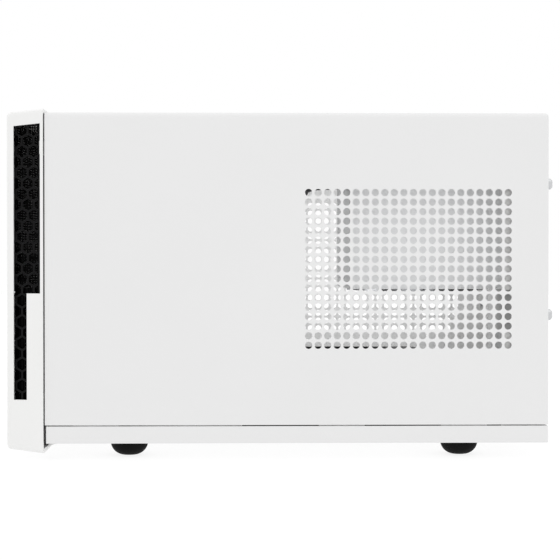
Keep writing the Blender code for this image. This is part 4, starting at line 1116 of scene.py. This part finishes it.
@dataclass
class Sockets:
    """What stands inside the sockets: tongues, contacts, pins and coloured rings."""

    tongue: Point = (10.8, 9.4, 1.7)

    def build(self) -> None:
        """Make the insides of the front and rear sockets."""
        self.front()
        self.rear_tongues()
        self.rear_contacts()
        self.rings()
        self.mains_pins()

    def front(self) -> None:
        """Make the blue tongues and gold contacts of the two front sockets."""
        tongues, contacts = Form(), Form()
        for node in ("front_usb_upper", "front_usb_lower"):
            low, high = millimetres(node)
            x, z = (low.x + high.x) / 2, (low.z + high.z) / 2
            tongues.box((x - 5.4, low.y + 1.4, z + 0.3), (x + 5.4, low.y + 12.6, z + 2.0))
            pin = Form().box((-0.5, 0.0, -0.12), (0.5, 6.4, 0.0)).piece("contact")
            strip = CopyField.mesh(pin, GOLD, (x - 3.5, low.y + 2.0, z + 0.3), 4, (7.0 / 3, 0.0, 0.0))
            contacts.add(strip, Matrix())
        tongue = rounded(tongues.piece("front_tongues"), 0.2)
        settle(tongue, "chassis", Slot.BLACK_PLASTIC, BLUE_TONGUE)
        settle(contacts.piece("front_contacts"), "chassis", Slot.BRIGHT_STEEL, GOLD)

    def rear_tongues(self) -> None:
        """Make the tongues of the rear sockets, the blue ones in the stack and the black ones beside it."""
        for name, node, finish, places in (
            ("stack_tongues", "usb_stack", BLUE_TONGUE, ((2.0, 4.2), (2.0, 11.3), (2.0, 18.4), (2.0, 25.5))),
            ("network_tongues", "network_port", BLACK_NYLON, ((2.9, 4.3), (2.9, 10.9))),
            ("video_tongues", "video_ports", BLACK_NYLON, ((3.4, 14.3), (3.4, 4.3))),
        ):
            low, high = millimetres(node)
            form = Form()
            for x, z in places:
                start = (low.x + x, high.y - 11.2, low.z + z)
                form.box(start, tuple(a + b for a, b in zip(start, self.tongue)))
            settle(rounded(form.piece(name), 0.2), "chassis", Slot.BLACK_PLASTIC, finish)

    def rear_contacts(self) -> None:
        """Make the eight sprung contacts of the network socket."""
        low, high = millimetres("network_port")
        wire = Form().prism([(0.0, 0.0), (6.5, 2.6), (6.5, 2.95), (0.0, 0.35)], "X", -0.18, 0.18)
        wire = wire.piece("wire")
        mesh = CopyField.mesh(wire, GOLD, (low.x + 4.7, high.y - 9.5, low.z + 16.4), 8, (1.02, 0.0, 0.0))
        settle(linked("network_contacts", mesh), "chassis", Slot.BRIGHT_STEEL, None)

    def rings(self) -> None:
        """Make the rings round the sound sockets, coloured at the rear and plated at the front."""
        low, high = millimetres("audio_ports")
        for index, finish in enumerate((PINK_RING, GREEN_RING, BLUE_TONGUE)):
            centre = (low.x + 6.4 + 12.3 * index, low.z + 6.1)
            profile = [(2.25, high.y - 0.5), (2.25, high.y + 0.5), (2.5, high.y + 0.7), (3.2, high.y + 0.7),
                       (3.5, high.y + 0.4), (3.5, high.y - 0.1)]
            ring = Form().turned(profile, centre, "Y", 40).piece(f"sound_ring_{index + 1}")
            settle(ring, "chassis", Slot.BLACK_PLASTIC, finish)
        for node in ("headphone_jack", "microphone_jack"):
            low, high = millimetres(node)
            centre = ((low.x + high.x) / 2, (low.z + high.z) / 2)
            profile = [(1.85, low.y + 1.0), (1.85, low.y - 0.1), (2.5, low.y - 0.1), (2.6, low.y + 0.1)]
            ring = Form().turned(profile, centre, "Y", 40).piece(node + "_ring")
            settle(ring, "chassis", Slot.BRIGHT_STEEL, NICKEL)

    def mains_pins(self) -> None:
        """Make the three blades of the mains inlet."""
        low, high = millimetres("mains_inlet")
        x, z = (low.x + high.x) / 2, (low.z + high.z) / 2
        form = Form()
        for side, rise in ((-7.0, -2.0), (0.0, 2.2), (7.0, -2.0)):
            form.box((x + side - 1.0, high.y - 15.4, z + rise - 2.0),
                     (x + side + 1.0, high.y - 2.6, z + rise + 2.0))
        settle(rounded(form.piece("mains_pins"), 0.4), "chassis", Slot.BRIGHT_STEEL, NICKEL)


@dataclass
class Supply:
    """The power supply's case, with honeycomb vents in its rear wall."""

    pitch: float = 4.6
    hole: float = 2.15

    def build(self) -> None:
        """Cut two windows in the case's rear wall and fill them with honeycomb sheet."""
        case = refined("supply_case", SUPPLY_COAT, 0.0)
        low, high = millimetres("supply_case")
        for name, left, right, base, top, columns, rows in (
            ("beside_inlet", low.x + 6.0, low.x + 64.0, low.z + 5.0, high.z - 5.0, 12, 13),
            ("over_inlet", low.x + 66.0, high.x - 6.0, low.z + 41.0, high.z - 5.0, 10, 4),
        ):
            window = Form().box((left, high.y - 2.0, base), (right, high.y + 2.0, top)).piece("window")
            carved(case, window)
            row = self.pitch * math.sqrt(0.75)
            vent = PerforatedSheet(right - left, top - base, columns, rows, (self.pitch, row), self.hole, 6,
                                   SHEET, stagger=self.pitch / 2, turn=math.pi / 6,
                                   shift=(-self.pitch / 4, 0.0))
            middle = Vector(((left + right) / 2, high.y - SHEET, (base + top) / 2)) * MM
            turn = Matrix.Rotation(math.pi, 4, "Z") @ Matrix.Rotation(math.pi / 2, 4, "X")
            place = Matrix.Translation(middle) @ turn
            piece = Form().add(vent.mesh(SUPPLY_COAT), place).piece("vent_" + name)
            settle(piece, "chassis", Slot.PALE_STEEL, SUPPLY_COAT)
        shaded(case)


@dataclass
class BoardParts:
    """The small parts on the main board: cans, chokes, chips, headers, a cell and its screws."""

    def build(self) -> None:
        """Make every kind of part."""
        low, high = millimetres("main_board")
        self.floor, self.left, self.right, self.rear = high.z, low.x, high.x, high.y
        self.cans()
        self.chokes()
        self.chips()
        self.headers()
        self.chipset()
        self.cell()
        self.screws()

    def row(self, name: str, source: bpy.types.Object, finish: Finish, slot: Slot, start: Point, count: int,
            step: Point, rows: int = 1, row_step: Point = (0.0, 0.0, 0.0)) -> None:
        """Settle a field of copies on the board.

        Args:
            name: the piece's name.
            source: what is copied.
            finish: its finish.
            slot: its material slot.
            start: the first copy's place on the board, in millimetres.
            count: how many copies a row has.
            step: from one copy to the next.
            rows: how many rows there are.
            row_step: from one row to the next.
        """
        place = (self.left + start[0], self.rear - start[1], self.floor + start[2])
        mesh = CopyField.mesh(source, finish, place, count, step, rows, row_step)
        settle(shaded(linked(name, mesh)), "chassis", slot, None)

    def cans(self) -> None:
        """Make the rows of solid capacitors, with their pressed tops."""
        profile = [(0.0, 0.0), (3.3, 0.0), (3.3, 0.9), (3.05, 1.3), (3.05, 7.1), (2.7, 7.6), (2.2, 7.6),
                   (2.1, 7.35), (0.0, 7.35)]
        can = Form().turned(profile, (0.0, 0.0), "Z", 28).piece("can")
        self.row("capacitor_row", can, ALUMINIUM, Slot.ALUMINIUM, (52.0, 38.0, 0.0), 9, (8.6, 0.0, 0.0))
        can = Form().turned(profile, (0.0, 0.0), "Z", 28).piece("can")
        self.row("capacitor_side", can, ALUMINIUM, Slot.ALUMINIUM, (148.5, 108.0, 0.0), 2,
                 (0.0, 9.0, 0.0), 2, (8.6, 0.0, 0.0))

    def chokes(self) -> None:
        """Make the row of moulded chokes."""
        choke = rounded(Form().box((-3.6, -3.4, 0.0), (3.6, 3.4, 6.8)).piece("choke"), 0.7)
        self.row("choke_row", choke, CHOKE, Slot.BLACK_PLASTIC, (52.0, 46.5, 0.0), 9, (8.6, 0.0, 0.0))

    def chips(self) -> None:
        """Make the flat packaged chips and the fine rows of their legs."""
        for index, (x, y, size) in enumerate(((30.0, 96.0, 6.0), (30.0, 122.0, 4.5), (46.0, 134.0, 3.5),
                                              (76.0, 28.0, 3.6), (44.0, 30.0, 4.5))):
            body = rounded(Form().box((-size, -size, 0.25), (size, size, 1.3)).piece("chip"), 0.2)
            self.row(f"chip_{index + 1}", body, BLACK_NYLON, Slot.BLACK_PLASTIC, (x, y, 0.0), 1,
                     (1.0, 0.0, 0.0))
            count = int(size * 2 / 0.8)
            reach = size + 0.6
            leg = Form().box((-0.16, -reach, 0.0), (0.16, reach, 0.22)).piece("leg")
            self.row(f"chip_{index + 1}_legs", leg, NICKEL, Slot.BRIGHT_STEEL,
                     (x - (count - 1) * 0.4, y, 0.0), count, (0.8, 0.0, 0.0))

    def headers(self) -> None:
        """Make the pin headers and the right-angled drive sockets."""
        pin = Form().prism([(-0.3, -0.3), (0.3, -0.3), (0.3, 0.3), (-0.3, 0.3)], "Z", 0.0, 8.4).piece("pin")
        self.row("header_pins", pin, GOLD, Slot.BRIGHT_STEEL, (100.0, 164.0, 0.0), 9, (2.54, 0.0, 0.0), 2,
                 (0.0, 2.54, 0.0))
        base = rounded(Form().box((-1.25, -1.25, 0.0), (1.25, 3.8, 2.5)).piece("base"), 0.15)
        self.row("header_base", base, BLACK_NYLON, Slot.BLACK_PLASTIC, (100.0, 164.0, 0.0), 9,
                 (2.52, 0.0, 0.0))
        shell = Form().box((-2.6, -8.2, 0.0), (2.6, 8.2, 8.2)).piece("socket")
        carved(shell, Form().box((-1.6, -7.2, 2.0), (1.6, 7.2, 9.0)).piece("drill"))
        self.row("drive_sockets", rounded(shell, 0.25), BLACK_NYLON, Slot.BLACK_PLASTIC,
                 (162.0, 84.0, 0.0), 2, (0.0, 18.5, 0.0))

    def chipset(self) -> None:
        """Make the finned block on the bridge chip."""
        fin = Form().box((-0.55, -13.0, 1.6), (0.55, 13.0, 9.0)).piece("fin")
        self.row("bridge_fins", rounded(fin, 0.2), ALUMINIUM, Slot.ALUMINIUM, (16.8, 66.0, 0.0), 9,
                 (2.9, 0.0, 0.0))
        base = rounded(Form().box((-13.0, -13.0, 0.2), (13.0, 13.0, 2.0)).piece("base"), 0.3)
        self.row("bridge_base", base, ALUMINIUM, Slot.ALUMINIUM, (28.4, 66.0, 0.0), 1, (1.0, 0.0, 0.0))

    def cell(self) -> None:
        """Make the coin cell in its low holder."""
        holder = [(0.0, 0.0), (11.4, 0.0), (11.4, 2.4), (10.6, 2.4), (10.4, 1.2), (0.0, 1.2)]
        ring = Form().turned(holder, (0.0, 0.0), "Z", 48).piece("holder")
        self.row("cell_holder", ring, BLACK_NYLON, Slot.BLACK_PLASTIC, (30.0, 142.0, 0.0), 1,
                 (1.0, 0.0, 0.0))
        coin = [(0.0, 1.3), (9.6, 1.3), (10.0, 1.7), (10.0, 3.2), (9.4, 3.8), (8.4, 4.0), (0.0, 4.0)]
        cell = Form().turned(coin, (0.0, 0.0), "Z", 48).piece("cell")
        self.row("coin_cell", cell, SILICON_LID, Slot.BRIGHT_STEEL, (30.0, 142.0, 0.0), 1, (1.0, 0.0, 0.0))

    def screws(self) -> None:
        """Make the four screws that hold the board, with their crossed slots."""
        profile = [(0.0, 0.0), (3.1, 0.0), (3.1, 0.6), (2.6, 1.4), (1.2, 1.7), (0.0, 1.7)]
        screw = Form().turned(profile, (0.0, 0.0), "Z", 28).piece("screw")
        for size in ((1.7, 0.3), (0.3, 1.7)):
            carved(screw, Form().box((-size[0], -size[1], 0.9), (size[0], size[1], 2.0)).piece("slot"))
        self.row("board_screws", screw, NICKEL, Slot.BRIGHT_STEEL, (6.35, 6.35, 0.0), 2,
                 (157.3, 0.0, 0.0), 2, (0.0, -157.3, 0.0))


@dataclass
class Copies:
    """CAD nodes whose shape is right: each gets whole faces, rounded edges and its finish."""

    finish: object
    width: float
    nodes: tuple[str, ...]

    def build(self) -> None:
        """Make one piece from each node."""
        for node in self.nodes:
            refined(node, self.finish, self.width)


SHAPES = (
    Copies(WHITE_ABS, 0.35, ("front_bezel", "power_button", "reset_button")),
    Copies(CLEAR_LENS, 0.12, ("power_lens", "drive_lens")),
    Copies(POWDER_COAT, 0.2, ("base_pan", "slot_cover_inner", "slot_cover_outer", "supply_plate")),
    Copies(INNER_COAT, 0.12, ("front_wall", "rear_wall", "side_rail_left", "side_rail_right",
                              "drive_bracket")),
    Copies(ZINC, 0.1, ("port_shield",)),
    Copies(NICKEL, 0.12, ("front_usb_upper", "front_usb_lower", "network_port", "usb_stack", "video_ports",
                          "supply_fan_guard")),
    Copies(COATED_SCREW, 0.1, ("cover_screw_lower_left", "cover_screw_lower_right", "cover_screw_upper_left",
                              "cover_screw_upper_right")),
    Copies(BLACK_NYLON, 0.2, ("headphone_jack", "microphone_jack", "power_switch", "reset_switch",
                              "audio_ports", "memory_sockets", "card_slot", "power_socket",
                              "power_plug", "mains_inlet", "supply_switch")),
    Copies(BLACK_NYLON, 0.3, ("front_fan_frame", "cooler_fan_frame", "supply_fan_frame")),
    Copies(BLACK_NYLON, 0.12, ("front_fan_rotor", "cooler_fan_rotor", "supply_fan_rotor")),
    Copies(MASK, 0.06, ("main_board", "front_circuit", "memory_module_front", "memory_module_rear")),
    Copies(SILICON_LID, 0.3, ("processor",)),
    Copies(ALUMINIUM, 0.08, ("cooler_heatsink",)),
    Copies(DRIVE_METAL, 0.5, ("solid_state_drive",)),
    Copies(BRAID, 0.0, ("power_cable", "drive_cable", "front_panel_cable")),
)


# ---------------------------------------------------------------- studio

@dataclass
class Studio:
    """A plain pale floor, soft lights and the camera."""

    eye: Point = (0.990, -0.0201, 0.1042)
    gaze: Point = (-1.0, 0.0225, -0.0124)
    lens: float = 108.8

    def build(self) -> None:
        """Set up the room."""
        self.floor()
        self.world()
        self.camera()
        for name, place, target, size, watts in self.LIGHTS:
            self.area_light(name, place, target, size, watts)
        for name, place, target, width, height, watts in self.GLOWS:
            light = self.area_light(name, place, target, width, watts)
            light.data.shape, light.data.size_y = "RECTANGLE", height
            light.visible_camera = False

    # Name, place, aim, size and power of each soft light round the object
    LIGHTS = (
        ("key", (-0.9, -1.5, 1.9), (0.0, 0.0, 0.1), 1.6, 4.5),
        ("top", (0.3, 0.3, 2.3), (0.0, 0.0, 0.1), 1.8, 4.0),
    )
    # Name, place, aim, width, height and power of each soft glow inside the case
    GLOWS = (
        ("inside_right", (0.1075, 0.068, 0.11), (0.0, 0.068, 0.11), 0.09, 0.09, 0.017),
        ("inside_left", (-0.052, 0.05, 0.10), (-0.2, 0.05, 0.10), 0.13, 0.13, 0.044),
        ("inside_front", (0.02, -0.088, 0.115), (0.02, 0.0, 0.115), 0.10, 0.08, 0.07),
    )

    def floor(self) -> None:
        """Make the flat pale floor."""
        form = Form().box((-4000.0, -4000.0, -20.0), (4000.0, 4000.0, 0.0))
        floor = form.piece("floor")
        floor.data.materials.append(Palette.get(FLOOR_GLASS))

    def world(self) -> None:
        """Make the even white surroundings."""
        world = bpy.data.worlds.new("studio")
        bpy.context.scene.world = world
        world.use_nodes = True
        background = world.node_tree.nodes["Background"]
        background.inputs["Color"].default_value = (1.0, 1.0, 1.0, 1.0)
        background.inputs["Strength"].default_value = 1.0
        bpy.context.scene.view_settings.view_transform = "Standard"

    def camera(self) -> None:
        """Place the camera square on to the right side."""
        data = bpy.data.cameras.new("camera")
        data.lens = self.lens
        data.sensor_width = 36.0
        data.clip_start, data.clip_end = 0.01, 50.0
        camera = bpy.data.objects.new("camera", data)
        bpy.context.scene.collection.objects.link(camera)
        camera.location = self.eye
        camera.rotation_euler = Vector(self.gaze).to_track_quat("-Z", "Y").to_euler()
        bpy.context.scene.camera = camera

    def area_light(self, name: str, place: Point, target: Point, size: float,
                   watts: float) -> bpy.types.Object:
        """Add a square area light aimed at a point.

        Args:
            name: the lamp's name.
            place: where it hangs, in metres.
            target: what it faces.
            size: the side of the lit square.
            watts: its power.

        Returns:
            The lamp.
        """
        data = bpy.data.lights.new(name, "AREA")
        data.size = size
        data.energy = watts
        light = bpy.data.objects.new(name, data)
        bpy.context.scene.collection.objects.link(light)
        light.location = place
        light.rotation_euler = (Vector(target) - Vector(place)).to_track_quat("-Z", "Y").to_euler()
        return light


def main() -> None:
    """Make every piece and the studio."""
    logging.basicConfig(level=logging.INFO, format="%(name)s: %(message)s")
    Cover().build()
    Grille().build()
    Filter().build()
    for node in ("foot_front_left", "foot_front_right", "foot_rear_left", "foot_rear_right"):
        Foot(node).build()
    for shapes in SHAPES:
        shapes.build()
    Sockets().build()
    Supply().build()
    BoardParts().build()
    Studio().build()


if __name__ == "__main__":
    main()
